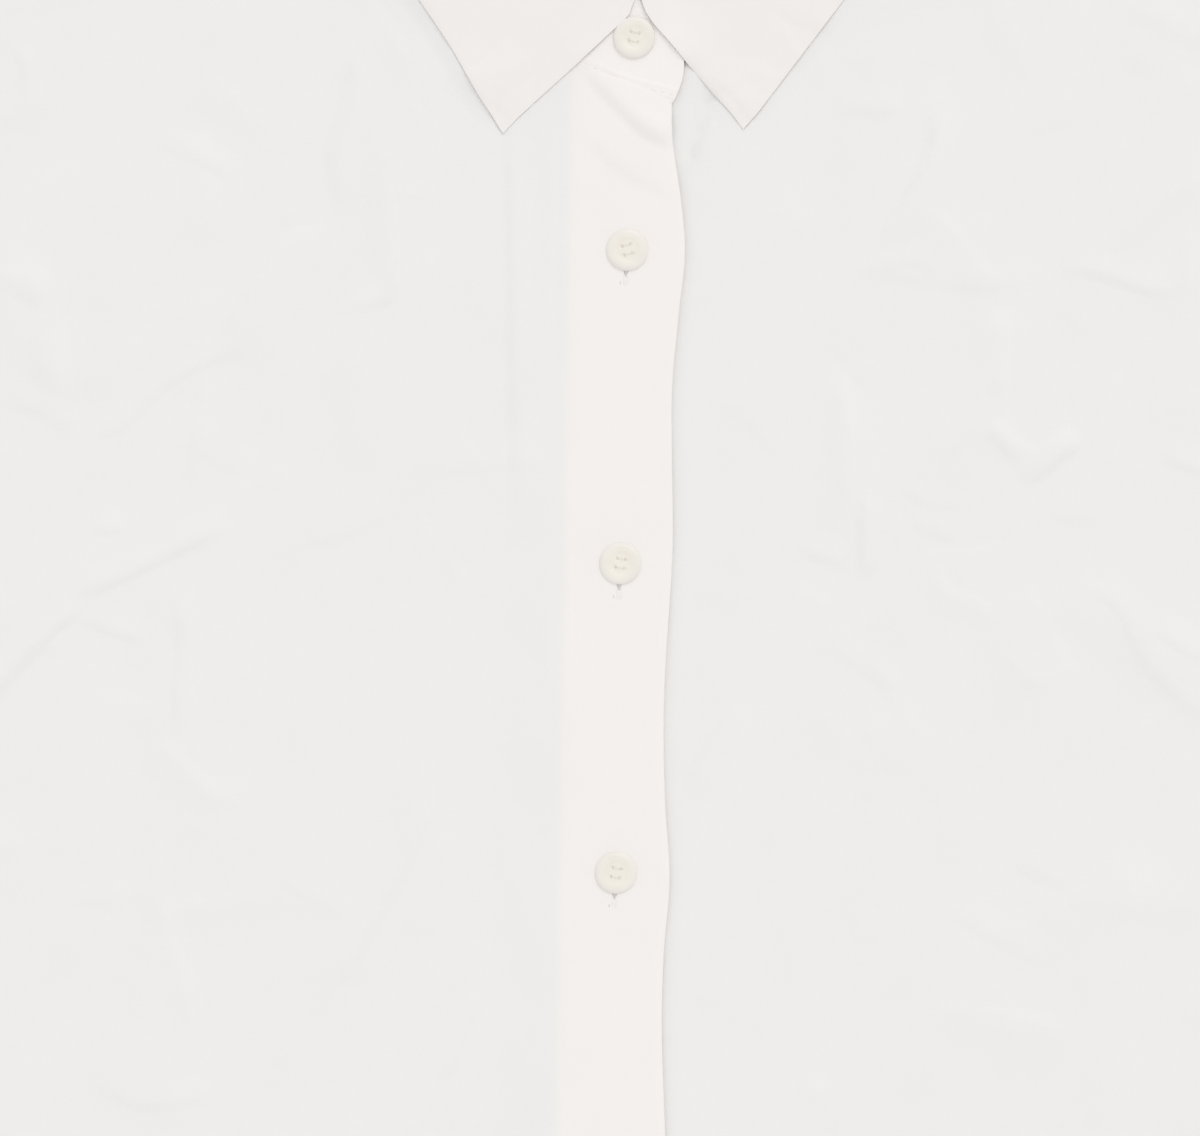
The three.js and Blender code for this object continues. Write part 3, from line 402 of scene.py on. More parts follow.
def fold_heights(X, Y, folds):
    total = np.zeros(X.shape)
    for start, end, bow, height, width in folds:
        run = np.subtract(end, start)
        length = np.hypot(*run)
        dx, dy = X - start[0], Y - start[1]
        along = (dx * run[0] + dy * run[1]) / length**2
        aside = (run[0] * dy - run[1] * dx) / length - 4 * bow * along * (1 - along)
        taper = np.sin(math.pi * np.clip(along, 0, 1)) ** 0.7
        total += np.where((along > 0) & (along < 1), height * taper * hill(aside, width), 0)
    return total * FOLD_SHARE


def noise(X, Y, size, seed):
    """Smooth random heights between -1 and 1, about size apart."""
    rng = np.random.default_rng(seed)
    grid = rng.uniform(-1, 1, (64, 64))
    gx, gy = X / size + 31.3, Y / size + 47.7
    ix, iy = np.floor(gx).astype(int), np.floor(gy).astype(int)
    fx, fy = smooth(gx - ix), smooth(gy - iy)
    low, high = (grid[ix % 64, j % 64] * (1 - fx) + grid[(ix + 1) % 64, j % 64] * fx for j in (iy, iy + 1))
    return low * (1 - fy) + high * fy


def faint_creases(X, Y, seed):
    """Many short faint creases with random places, directions and sizes."""
    rng = np.random.default_rng(seed)
    total = np.zeros(X.shape)
    box = (X.min(), X.max(), Y.min(), Y.max())
    for _ in range(FAINT_CREASES):
        x, y = rng.uniform(box[0], box[1]), rng.uniform(box[2], box[3])
        angle = rng.uniform(0, math.pi)
        length = rng.uniform(0.3, 1) * FAINT_LENGTH
        bend = rng.normal(0, 0.12) * length
        dx, dy = math.cos(angle) * length / 2, math.sin(angle) * length / 2
        path = ((x - dx, y - dy), (x - dy * bend / length, y + dx * bend / length), (x + dx, y + dy))
        height = rng.uniform(0.3, 1) * FAINT_HEIGHT * rng.choice((-1, 1))
        total += crease_heights(X, Y, path, height, rng.uniform(*FAINT_WIDTHS))
    return total


def fine_relief(X, Y, seed):
    uneven = sum(height * noise(X, Y, size, seed + i) for i, (height, size) in enumerate(UNEVEN))
    return uneven + faint_creases(X, Y, seed + len(UNEVEN))


# ---------------------------------------------------------------- heights of the layers
# The cloth rises a little toward a collar leaf's edge: the edge's path, which side of it the leaf is on
# (1 for its left), the rise, and the run over which the cloth comes up. It dies away at the path's ends.
LEAF_EDGES = [
    (((-73, -32), (-51.5, -60.8), (-40.6, -78.6), (-33.9, -88.4)), 1, 1.5, 4.4),
    (((73, -32), (51.5, -60.8), (38.7, -78.2), (32.2, -86.8)), -1, 0.8, 3.0),
    (((1.2, -50), (0.2, -56.8), (-4.7, -61.5), (-13.5, -69.9), (-33.9, -88.6)), -1, 0.8, 4.0),
    (((32.2, -86.5), (14.7, -67.7), (6.5, -58.8)), -1, 0.7, 3.0),
]
LEAF_REACH = 9  # how far the rise goes on beneath the leaf
# The left front comes up between the stand's end and the leaf, and lies lower beside the band's top: the
# place or path, the height, and the spread.
BESIDE_STAND_END = ((16.4, -71.5), 0.72, (4, 6))
BESIDE_BAND_TOP = ([(24.5, -72), (21, -83), (17.5, -93), (15, -101)], -1.2, 2.2)
BESIDE_BAND = (-0.38, 1.6, -88, 12)  # the same all down the band: height, spread, first y and run
UNDER_BUTTON = (-0.28, (7, 8))
LEFT_SEED, RIGHT_SEED, BACK_SEED, BAND_SEED, LEAF_SEED, CUFF_SEED = 11, 29, 83, 5, 91, 71


def neck_lift(X, Y):
    out = np.hypot(X / NECK_LIFT["width"], Y / NECK_LIFT["depth"])
    return LAYER * smooth((1 + NECK_LIFT["fade"] - out) / NECK_LIFT["fade"])


def base_height(X, Y, distance):
    return FRONT_LAYER + LOFT * smooth(distance / LOFT_RUN)


def plain_front(X, Y):
    """A front without its folds and creases."""
    return base_height(X, Y, edge_distance(X, Y))


def calm(distance):
    return smooth((distance - 4) / 22)


def band_edge(Y):
    """The x of the buttonhole band's free edge."""
    return np.interp(-Y, [-y for y, _ in BAND_EDGE], [x for _, x in BAND_EDGE])


def leaf_raise(X, Y, reach=LEAF_REACH):
    total = np.zeros(X.shape)
    for path, leaf_side, height, run in LEAF_EDGES:
        off, share, side = nearest(X, Y, path)
        outside = off * side * leaf_side
        rise = smooth((run - outside) / (1.4 * run)) * smooth((outside + reach) / (reach - 2))
        total = np.maximum(total, height * rise * fade_ends(share, 0.2))
    return total


def spot(X, Y, place, height, spread):
    return height * hill(X - place[0], spread[0]) * hill(Y - place[1], spread[1])


def left_front(X, Y, detail=True):
    distance = edge_distance(X, Y)
    folds = fold_heights(X, Y, LEFT_FOLDS) * calm(distance) * smooth((X - BAND_MEET) / 20)
    height = base_height(X, Y, distance) + neck_lift(X, Y) + folds
    if detail:
        fine = fine_relief(X, Y, LEFT_SEED) * smooth((X - 18) / 12) + creases(X, Y, LEFT_CREASES)
        fine += leaf_raise(X, Y) * smooth((X - 13) / 5) + spot(X, Y, *BESIDE_STAND_END)
        path, depth, spread = BESIDE_BAND_TOP
        off, share, _ = nearest(X, Y, path)
        height += fine * smooth(distance / 10) + depth * hill(off, spread) * fade_ends(share, 0.3)
        depth, spread, first, run = BESIDE_BAND
        height += depth * hill(X - band_edge(Y), spread) * smooth((first - Y) / run)
    return height


def right_front(X, Y, detail=True):
    distance = edge_distance(X, Y)
    lapped = smooth((X + 34) / 19)
    height = base_height(X, Y, distance) + neck_lift(X, Y) + LAP * lapped
    height += fold_heights(X, Y, RIGHT_FOLDS) * calm(distance) * (1 - lapped)
    if detail:
        fine = fine_relief(X, Y, RIGHT_SEED) * smooth((-X - 17) / 14) + creases(X, Y, RIGHT_CREASES)
        height += fine * smooth(distance / 10) + creases(X, Y, BAND_CREASES) + leaf_raise(X, Y)
    return height


def over_band(X, Y):
    height = plain_front(X, Y) + LAP - 0.2
    height += 0.10 * noise(X, Y, 24, BAND_SEED) + 0.03 * noise(X, Y, 8, BAND_SEED + 1)
    height += creases(X, Y, BAND_CREASES) + leaf_raise(X, Y)
    return height + sum(spot(X, Y, place, *UNDER_BUTTON) for place in FRONT_BUTTONS)


def table_height(X, Y):
    """The middle of a sheet that lies on the table and rises at the neck."""
    return ON_TABLE + neck_lift(X, Y)


def back_height(X, Y):
    """On the table, but lifted off it along its creases."""
    lifted = fine_relief(X, Y, BACK_SEED) + creases(X, Y, BACK_CREASES)
    return table_height(X, Y) + 0.8 * np.maximum(lifted, 0) * smooth((edge_distance(X, Y) - 4) / 16)


def height_at(height, place, *detail):
    """The height at one place."""
    return float(height(*np.reshape(np.array(place, float), (2, 1, 1)), *detail)[0, 0])


# ---------------------------------------------------------------- meshes
MATERIALS, SHEETS = {}, []


def add_object(name, data):
    made = bpy.data.objects.new(name, data)
    bpy.context.scene.collection.objects.link(made)
    return made


def finish_piece(name, points, faces, material, node=None, slot="doubled"):
    mesh = bpy.data.meshes.new(name)
    placed = np.asarray(points, float).reshape(-1, 3) * MM
    placed[:, 1] += SHIFT_Y * MM
    mesh.from_pydata(placed.tolist(), [], faces)
    mesh.validate()
    for polygon in mesh.polygons:
        polygon.use_smooth = True
    mesh.materials.append(MATERIALS[material])
    piece = add_object(name, mesh)
    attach(piece, "root")
    if node:
        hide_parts(node)
    return piece


def shell(P, thickness, ring, rounded):
    """Points and quads of a closed thin sheet whose middle is the grid P, its edges rounded over."""
    index = np.arange(P.shape[0] * P.shape[1]).reshape(P.shape[:2])
    if ring:
        along = np.roll(P, -1, axis=1) - np.roll(P, 1, axis=1)
        here, beside = index, np.roll(index, -1, axis=1)
        loops = [index[0], index[-1][::-1]]
    else:
        along = np.gradient(P, axis=1)
        here, beside = index[:, :-1], index[:, 1:]
        loops = [np.concatenate([index[0], index[1:, -1], index[-1, -2::-1], index[-2:0:-1, 0]])]
    n = unit(np.cross(along, np.gradient(P, axis=0)))
    if n[..., 2].mean() < 0 and not ring:
        n = -n
    half, lower, count = thickness / 2, index.size, 2 * index.size
    points = [(P + n * half).reshape(-1, 3), (P - n * half).reshape(-1, 3)]
    top = np.stack([here[:-1], beside[:-1], beside[1:], here[1:]], axis=-1).reshape(-1, 4)
    faces = [top, top[:, ::-1] + lower]
    for loop in loops:
        edge, normal = P.reshape(-1, 3)[loop], n.reshape(-1, 3)[loop]
        out = unit(np.cross(np.roll(edge, -1, axis=0) - np.roll(edge, 1, axis=0), normal))
        previous = loop
        for k in range(rounded + 1):
            if k < rounded:
                angle = math.pi * (k + 1) / (rounded + 1)
                points.append(edge + normal * half * math.cos(angle) + out * half * math.sin(angle))
                fresh = count + np.arange(len(loop))
                count += len(loop)
            else:
                fresh = loop + lower
            faces.append(np.stack([previous, fresh, np.roll(fresh, -1), np.roll(previous, -1)], axis=-1))
            previous = fresh
    return np.concatenate(points), np.concatenate(faces).tolist()


def cloth(name, P, thickness, material, node, slot="doubled", ring=False, rounded=0, **sheet):
    """A piece of cloth, its faces turned out."""
    piece = finish_piece(name, *shell(P, thickness, ring, rounded), material, node, slot)
    work = bmesh.new()
    work.from_mesh(piece.data)
    bmesh.ops.recalc_face_normals(work, faces=work.faces)
    work.to_mesh(piece.data)
    work.free()
    SHEETS.append((piece, sheet))


def finish_parts(name, parts, material, slot="doubled"):
    """Many small meshes as one piece."""
    points, faces, start = [], [], 0
    for part_points, part_faces in parts:
        points.append(part_points)
        faces += [[i + start for i in face] for face in part_faces]
        start += len(part_points)
    finish_piece(name, np.concatenate(points), faces, material, None, slot)


def with_height(xy, height):
    return np.concatenate([xy, height(xy[..., 0], xy[..., 1])[..., None]], axis=-1)


# ---------------------------------------------------------------- materials
def new_material(name):
    """A bare material: a function that adds a node to it, with its links in, and its object coordinates."""
    made = bpy.data.materials.new(name)
    made.use_nodes = True
    tree = made.node_tree
    tree.nodes.clear()
    MATERIALS[name] = made

    def add(kind, links=(), modes=(), **values):
        node = tree.nodes.new("ShaderNode" + kind)
        for key, mode in dict(modes).items():
            setattr(node, key, mode)
        for key, value in values.items():
            node.inputs[key.replace("_", " ")].default_value = value
        for key, socket in dict(links).items():
            tree.links.new(socket, node.inputs[key])
        return node

    return add, add("TexCoord").outputs["Object"]


def two_tones(add, share, colour, darker):
    ramp = add("ValToRGB", {"Fac": share})
    for element, position, tone in zip(ramp.color_ramp.elements, (0.3, 0.7), (1 - darker, 1)):
        element.position, element.color = position, (*(c * tone for c in colour), 1)
    return ramp.outputs["Color"]


THREAD_PITCH, WEAVE_DEPTH, WRINKLE_DEPTH = 0.34 * MM, 0.04 * MM, 0.10 * MM
SLUB = 0.012
PANEL_END = {"From_Min": -17.4 * MM, "From_Max": -12.6 * MM}  # where the panel turns into the doubled band


def cloth_material(name, colour, weave=0.3, beside=None):
    """Plain-weave cotton: threads over and under, a few thicker ones, and a faint unevenness of the white.

    It turns into the colour beside it where the panel ends, as the doubled cloth shows through there."""
    add, place = new_material(name)
    at_place = {"Vector": place}
    waves = [
        add(
            "TexWave", at_place, {"wave_type": "BANDS", "bands_direction": axis},
            Scale=2 * math.pi / (20 * THREAD_PITCH), Distortion=1.4, Detail=2, Detail_Scale=0.6,
        ).outputs["Fac"]
        for axis in "XY"
    ]
    woven = add("Math", {0: waves[0], 1: waves[1]}, {"operation": "MAXIMUM"})
    uneven = add("TexNoise", at_place, Scale=900, Detail=3, Roughness=0.6)
    height = add("Math", {0: uneven.outputs["Fac"], 2: woven.outputs["Value"]}, {"operation": "MULTIPLY_ADD"})
    height.inputs[1].default_value = 0.6
    bump = add("Bump", {"Height": height.outputs["Value"]}, Strength=weave, Distance=WEAVE_DEPTH)
    wrinkle = add("TexNoise", at_place, Scale=150, Detail=4, Roughness=0.55, Distortion=0.4)
    both = {"Height": wrinkle.outputs["Fac"], "Normal": bump.outputs["Normal"]}
    soft = add("Bump", both, Strength=0.4, Distance=WRINKLE_DEPTH)
    tone = add("TexNoise", at_place, Scale=60, Detail=3, Roughness=0.5).outputs["Fac"]
    white = two_tones(add, tone, colour, SLUB)
    if beside:
        x = add("SeparateXYZ", at_place).outputs["X"]
        across = add("MapRange", {"Value": x}, {"interpolation_type": "SMOOTHSTEP"}, **PANEL_END)
        ends = {"Factor": across.outputs["Result"], "A": white, "B": two_tones(add, tone, beside, SLUB)}
        white = add("Mix", ends, {"data_type": "RGBA"}).outputs["Result"]
    shader = add(
        "BsdfPrincipled", {"Base Color": white, "Normal": soft.outputs["Normal"]},
        Roughness=0.88, Specular_IOR_Level=0.25, Sheen_Weight=0.08, Sheen_Roughness=0.5,
    )
    add("OutputMaterial", {"Surface": shader.outputs["BSDF"]})


def plain_material(name, colour, roughness, coat=0.0, mottled=0.03, scale=300):
    add, place = new_material(name)
    tone = add("TexNoise", {"Vector": place}, Scale=scale, Detail=3).outputs["Fac"]
    bump = add("Bump", {"Height": tone}, Strength=0.4, Distance=0.02 * MM)
    looks = {"Base Color": two_tones(add, tone, colour, mottled), "Normal": bump.outputs["Normal"]}
    shader = add("BsdfPrincipled", looks, Roughness=roughness, Coat_Weight=coat)
    add("OutputMaterial", {"Surface": shader.outputs["BSDF"]})


SHIRT_WHITE = (0.871, 0.856, 0.841)
DOUBLE_WHITE = (0.911, 0.878, 0.854)
COLLAR_WHITE = (0.894, 0.861, 0.837)
STAND_WHITE = (0.930, 0.897, 0.872)
BUTTON_CREAM = (0.884, 0.842, 0.758)
BUTTON_RIM_CREAM = (0.866, 0.836, 0.776)
cloth_material("shirting", SHIRT_WHITE, 0.35)
cloth_material("shirting_doubled", DOUBLE_WHITE)
cloth_material("collar_cloth", COLLAR_WHITE)
cloth_material("stand_cloth", STAND_WHITE)
cloth_material("right_front_cloth", SHIRT_WHITE, 0.35, DOUBLE_WHITE)
cloth_material("band_cloth", SHIRT_WHITE, beside=DOUBLE_WHITE)
# Darker cloth for painted shade, laid in the buttonhole slits and at their end bars where there is only
# shade.
cloth_material("buttonhole_painted_shade", (0.77, 0.76, 0.72), 0.2)
plain_material("sewing_thread", (0.90, 0.87, 0.85), 0.7)
plain_material("button_thread", (0.90, 0.85, 0.77), 0.7)
for name, colour in (("button_pearl", BUTTON_CREAM), ("button_rim", BUTTON_RIM_CREAM)):
    plain_material(name, colour, 0.45, coat=0.06, mottled=0.04, scale=260)
plain_material("table_top", (0.80, 0.80, 0.80), 0.9, mottled=0.01, scale=3)

# ---------------------------------------------------------------- fronts
SHIRT_THICK, BAND_THICK, DOUBLE_THICK, CUFF_THICK, STAND_THICK, LEAF_THICK = 0.5, 0.9, 0.6, 1.1, 0.8, 0.6
FRONT_UP = np.concatenate(
    [
        steps(0, 0.437, 54), steps(0.437, UNDERARM_SHARE, 108), steps(UNDERARM_SHARE, NECK_SHARE, 90),
        steps(NECK_SHARE, 1, 48), [1.0],
    ]
)
FRONT_ACROSS = np.concatenate([steps(0, 0.72, 122), steps(0.72, 1, 26), [1.0]])


def front_grid(side, neck_start, let_in):
    """A front from its free edge out. It is let into the stand by let_in at its neck's inner end."""
    let_in = np.linspace(let_in, LET_INTO_STAND, 40)[:, None]
    neck = np.concatenate([[neck_start], neck_edge(-side, 1, LAST_FRONT_STATION, 40, let_in)])
    start = neck_start[0]
    return patch(
        chained(NECK_SHARE, line((start, HEM_MIDDLE_Y), neck[0]), by_length(neck)),
        chained(UNDERARM_SHARE, side_seam(side), armhole_up(side)),
        hem(side, start * side, 0),
        line((abs(NECK_SIDE[0]) * side, NECK_SIDE[1]), (SHOULDER[0] * side, SHOULDER[1])),
        FRONT_ACROSS,
        FRONT_UP,
    )


def right_panel(X, Y):
    """The right front, passing beneath its band."""
    return right_front(X, Y) - 0.3 * smooth((X + 13.6) / 3)


cloth(
    "right_front_panel", with_height(front_grid(-1, (-5, -75.9), 0.6), right_panel), SHIRT_THICK,
    "right_front_cloth", "front_right", "shirting",
    flat=(0.257, 0.7), held="laid", rests_on=["back"], area=0.152,
)
cloth(
    "left_front_panel", with_height(front_grid(1, (3, -77.3), 2.2), left_front), SHIRT_THICK,
    "shirting", "front_left", "shirting",
    flat=(0.259, 0.7), held="laid", rests_on=["back"], area=0.153,
)

# ---------------------------------------------------------------- bands
UNDER_BAND_TOP_Y = -78
UNDER_BAND_LOWER = 0.62  # how far the left front's doubled band lies below the left front


def band_edge_height(X, Y):
    """The buttonhole band: let into the panel at its left, rolled down a little at its free edge."""
    rolled = smooth((X - band_edge(Y) + 2.2) / 2.2)
    return over_band(X, Y) - 0.12 * smooth((-13.2 - X) / 1.4) - 0.4 * rolled


free_edge = [(x - BAND_THICK / 2 - 0.3, y) for y, x in BAND_EDGE[::-1]][:-1] + [BAND_TOP[-1]]
over_xy = patch(
    line((BAND_LEFT, HEM_MIDDLE_Y), BAND_TOP[0]),
    by_length(spline(free_edge, np.linspace(0, 1, 300))),
    line((BAND_LEFT, HEM_MIDDLE_Y), BAND_EDGE[-1][::-1]),
    by_length(spline(BAND_TOP, DENSE)),
    np.concatenate([[0, 0.02, 0.045], steps(0.07, 0.9, 24), [0.92, 0.94, 0.96, 0.98, 1]]),
    np.concatenate([steps(0, 0.52, 100), steps(0.52, 1, 230), [1.0]]),
)
cloth(
    "buttonhole_band", with_height(over_xy, band_edge_height), BAND_THICK, "band_cloth", "front_right_band",
    rounded=3, flat=(0.03, 0.63), held="laid", rests_on=["front_left_band"],
)
under_xy = np.stack(
    np.meshgrid(
        np.linspace(BAND_LEFT, BAND_RIGHT_UNDER, 12), np.linspace(HEM_MIDDLE_Y, UNDER_BAND_TOP_Y, 120)
    ),
    axis=-1,
)
cloth(
    "button_band", with_height(under_xy, lambda X, Y: plain_front(X, Y) - UNDER_BAND_LOWER), DOUBLE_THICK,
    "shirting_doubled", "front_left_band", rounded=1, flat=(0.03, 0.62), held="laid", rests_on=["back"],
)

# ---------------------------------------------------------------- back and yoke
YOKE_THICK, YOKE_ABOVE = 0.7, 0.28  # the doubled yoke, and how far its middle lies above the back's
yoke_x, yoke_y = bezier(ARMHOLE, [YOKE_SHARE])[0]


def back_hem(t):
    left, right = hem(-1, 0, BACK_DROP), hem(1, 0, BACK_DROP)
    return np.where((t < 0.5)[:, None], left(1 - 2 * t), right(2 * t - 1))


def back_side(side):
    return chained(UNDERARM_SHARE, side_seam(side), armhole_up(side, YOKE_SHARE))


def yoke_side(side):
    return lambda t: flip(bezier(ARMHOLE, YOKE_SHARE * (1 - t)), side)


def yoke_seam(above):
    return line((-yoke_x, yoke_y + above), (yoke_x, yoke_y + above))


back_xy = patch(back_side(-1), back_side(1), back_hem, yoke_seam(0.1), even(110), even(120))
cloth(
    "back_panel", with_height(back_xy, back_height), SHIRT_THICK, "shirting", "back", "shirting",
    flat=(0.524, 0.605), held="laid", rests_on=["floor"], area=0.290,
)
half_neck = neck_edge(1, FIRST_BACK_STATION, 8, 30)
back_neck = np.concatenate([half_neck, flip(half_neck[::-1], -1)[1:]])
shoulders = [line((-SHOULDER[0], SHOULDER[1]), back_neck[0]), line(back_neck[-1], SHOULDER)]
yoke_top = chained(0.7, chained(0.3 / 0.7, shoulders[0], by_length(back_neck)), shoulders[1])
yoke_xy = patch(yoke_side(-1), yoke_side(1), yoke_seam(0), yoke_top, even(150), even(40))
cloth(
    "yoke_panel", with_height(yoke_xy, lambda X, Y: table_height(X, Y) + YOKE_ABOVE), YOKE_THICK,
    "shirting_doubled", "yoke", "shirting",
    flat=(0.412, 0.1), held="laid", rests_on=["floor"], area=0.0355,
)

# ---------------------------------------------------------------- sleeves and cuffs
SLEEVE_FOLDS = [  # along, across, height, run, spread, slant
    (0.16, 0.6, 1.6, 0.1, 0.22, 0.35), (0.36, 0.45, 1.5, 0.07, 0.26, -0.3),
    (0.55, 0.6, 1.8, 0.06, 0.24, 0.25), (0.74, 0.42, 1.4, 0.06, 0.24, -0.2),
    (0.9, 0.6, 1.3, 0.05, 0.2, 0.15),
]


def sleeve_rows(side, seed, rows):
    """A flat tube: its upper cloth, its outer turn, its lower cloth and its inner turn, ring after ring."""
    along = np.concatenate([[0, 0.003, 0.006, 0.009], steps(0.012, 1, 160), [1.0]])
    middle = np.linspace(0.03, 0.97, int(52 / COARSER))
    across = np.concatenate([[0, 0.006, 0.015], middle, [0.985, 0.994, 1]])
    upper, lower = bezier(SLEEVE_UPPER, along), bezier(SLEEVE_LOWER, along)
    u, t = across[None, :, None], along[:, None, None]
    chord = np.array(SHOULDER) * (1 - across[:, None]) + np.array(UNDERARM) * across[:, None]
    bowed = (bezier(ARMHOLE, across) - chord)[None] * (1 - smooth(t / SLEEVE_HEAD_RUN))
    clear = np.array(SLEEVE_CLEAR) * (1 - 1.5 * (1 - smooth(t / 0.02)))
    plan = upper[:, None] * (1 - u) + lower[:, None] * u + bowed + clear
    X, Y = plan[..., 0], plan[..., 1]
    a, b = along[:, None], across[None, :]
    folds = sum(
        h * hill(a - fold_a - slant * (b - fold_b), run) * hill(b - fold_b, spread)
        for fold_a, fold_b, h, run, spread, slant in SLEEVE_FOLDS
    )
    middle = np.sin(math.pi * b)
    inside = np.minimum(middle * 3, 1) * fade_ends(a, 0.03)
    loft = (LOFT * 0.8 + folds) * middle * smooth(a / 0.08) * smooth((1 - a) / 0.06)
    fine = (fine_relief(X, Y, seed) + creases(X, Y, rows)) * inside
    top_z = FRONT_LAYER - 0.1 - 0.45 * (1 - smooth(a / 0.012)) + loft + fine * 0.8
    low_z = ON_TABLE + 0.7 * np.maximum(fine_relief(X, Y, seed + 9), 0) * inside * middle

    def turn(edge, inner):
        xy = plan[:, edge] + unit(plan[:, edge] - plan[:, inner]) * 0.7
        return np.column_stack([xy, (top_z[:, edge] + low_z[:, edge]) / 2])[:, None]

    top = np.concatenate([plan, top_z[..., None]], axis=2)
    low = np.concatenate([plan, low_z[..., None]], axis=2)[:, ::-1]
    return np.concatenate([top, turn(-1, -6), low, turn(0, 5)], axis=1) * (side, 1, 1)


def cuff_frame():
    """The middle of the cuff's upper edge, the ways across and along it, and half its width."""
    outer = np.array(SLEEVE_UPPER[-1], float) + SLEEVE_CLEAR
    inner = np.array(SLEEVE_LOWER[-1], float) + SLEEVE_CLEAR
    across = unit(outer - inner)
    along = np.array([across[1], -across[0]])
    half = np.linalg.norm(outer - inner) / 2 - CUFF["narrower"]
    return (outer + inner) / 2 + along * 0.3, across, along, half


def bend(centre, low, high, start, end):
    angles = np.radians(np.linspace(start, end, 12))
    r = (high - low) / 2
    return [(centre + math.cos(a) * r, (low + high) / 2 + math.sin(a) * r) for a in angles]


CUFF_MIDDLE, CUFF_ACROSS, CUFF_ALONG, CUFF_HALF = cuff_frame()
CUFF_LOW = 0.75
CUFF_UNDER = CUFF_LOW + CUFF["wall"] + 0.4
CUFF_OVER = CUFF_UNDER + CUFF["wall"] + 0.2
CUFF_TOP = CUFF_OVER + CUFF_THICK / 2


def cuff_rows(side):
    """An open ring whose ends lap, from its under end round to its over end, row after row down the arm."""
    half = CUFF_HALF
    section = [(x, CUFF_UNDER) for x in np.linspace(CUFF["under_end"], -half + 1.5, 24)]
    section += bend(-half, CUFF_LOW, CUFF_UNDER, 90, 270)
    section += [(x, CUFF_LOW) for x in np.linspace(-half + 2, half - 2, 40)]
    section += bend(half, CUFF_LOW, CUFF_OVER, -90, 90)
    section += [(x, CUFF_OVER) for x in np.linspace(half - 2, CUFF["over_end"], 36)]
    x, z = np.array(section).T
    down = np.linspace(0, CUFF["length"], 34)
    plan = CUFF_MIDDLE + x[None, :, None] * CUFF_ACROSS + down[:, None, None] * CUFF_ALONG
    on_top = (z > CUFF_UNDER - 0.1) & (np.abs(x) < half - 2)
    uneven = on_top * 0.16 * noise(plan[..., 0], plan[..., 1], 22, CUFF_SEED)
    return np.concatenate([plan, (z + uneven)[..., None]], axis=2) * (side, 1, 1)


for side, word, seed, rows in ((1, "left", 41, LEFT_SLEEVE_CREASES), (-1, "right", 57, RIGHT_SLEEVE_CREASES)):
    cloth(
        f"{word}_sleeve", sleeve_rows(side, seed, rows), SHIRT_THICK,
        "shirting", f"sleeve_{word}", "shirting",
        ring=True, flat=(0.38, 0.62), held="laid", rests_on=["floor"], area=0.140,
    )
    cloth(
        f"{word}_cuff", cuff_rows(side), CUFF_THICK, "shirting_doubled", f"cuff_{word}", rounded=3,
        flat=(0.235, 0.058), held="laid", rests_on=["floor"],
    )

# ---------------------------------------------------------------- collar stand and leaf
LEAF_REST = 0.16  # the leaf's middle above the front's middle where it lies on it
ROLL_SHARE = (0.4, 0.42, 0.5, 0.7, 0.85, 1, 1, 1, 1)


def station(row, side, index):
    """A place round the neck: seam, rim and leaf edge with their heights, and the leaf's roll and turn."""
    seam, rim, rise, tip, roll, turn = row
    seam, rim, tip = flip([seam, rim, tip], side)
    roll *= ROLL_SHARE[index]
    if side < 0 and index == 0:
        tip, rim[0] = LEFT_TIP, LEFT_RIM_X
        roll += LAP
    if side < 0 and index == 1:
        tip = LEFT_BESIDE_TIP
    front = right_front if side > 0 else left_front
    seam_z = on_yoke = TABLE_LAYER + neck_lift(*seam)
    tip_z = TABLE_LAYER
    if index <= LAST_FRONT_STATION:
        seam_z = height_at(front, seam, False)
        tip_z = height_at(front, tip, False) + LEAF_REST
    if index == 0:
        seam_z = height_at(plain_front, seam) + (LAP if side > 0 else 0)
    if index == SIDE_STATION:
        seam_z = (height_at(front, NECK_SIDE, False) + on_yoke) / 2
        tip_z = FRONT_LAYER + LAYER / 2
    places = {"seam": [*seam, seam_z], "rim": [*rim, seam_z + rise], "tip": [*tip, tip_z]}
    return {**places, "roll": roll, "turn": turn}


RIGHT_HALF = [station(row, 1, i) for i, row in enumerate(COLLAR)]
LEFT_HALF = [station(row, -1, i) for i, row in enumerate(COLLAR[:-1])][::-1]
AROUND = RIGHT_HALF + LEFT_HALF
LAST = len(AROUND) - 1
T = np.concatenate(
    [
        steps(0, 2, 90), steps(2, 5, 60), steps(5, LAST - 5, 80), steps(LAST - 5, LAST - 2, 60),
        steps(LAST - 2, LAST, 90), [float(LAST)],
    ]
)


def eased(values):
    """Values at the stations, joined by curves that never overshoot them and read all round."""
    v = np.asarray(values, float)
    d = np.diff(v)
    slope = np.zeros(len(v))
    slope[1:-1] = np.where(d[:-1] * d[1:] > 0, 2 * d[:-1] * d[1:] / (d[:-1] + d[1:] + 1e-12), 0)
    slope[0], slope[-1] = d[0] * 0.7, d[-1] * 0.7
    low = np.minimum(T.astype(int), len(v) - 2)
    s = T - low
    h00, h10 = 2 * s**3 - 3 * s**2 + 1, s**3 - 2 * s**2 + s
    h01, h11 = -2 * s**3 + 3 * s**2, s**3 - s**2
    return h00 * v[low] + h10 * slope[low] + h01 * v[low + 1] + h11 * slope[low + 1]


def all_round(key):
    stations = np.array([s[key] for s in AROUND], float)
    return np.concatenate([spline(stations[:, :2], T / LAST), eased(stations[:, 2])[:, None]], axis=1)


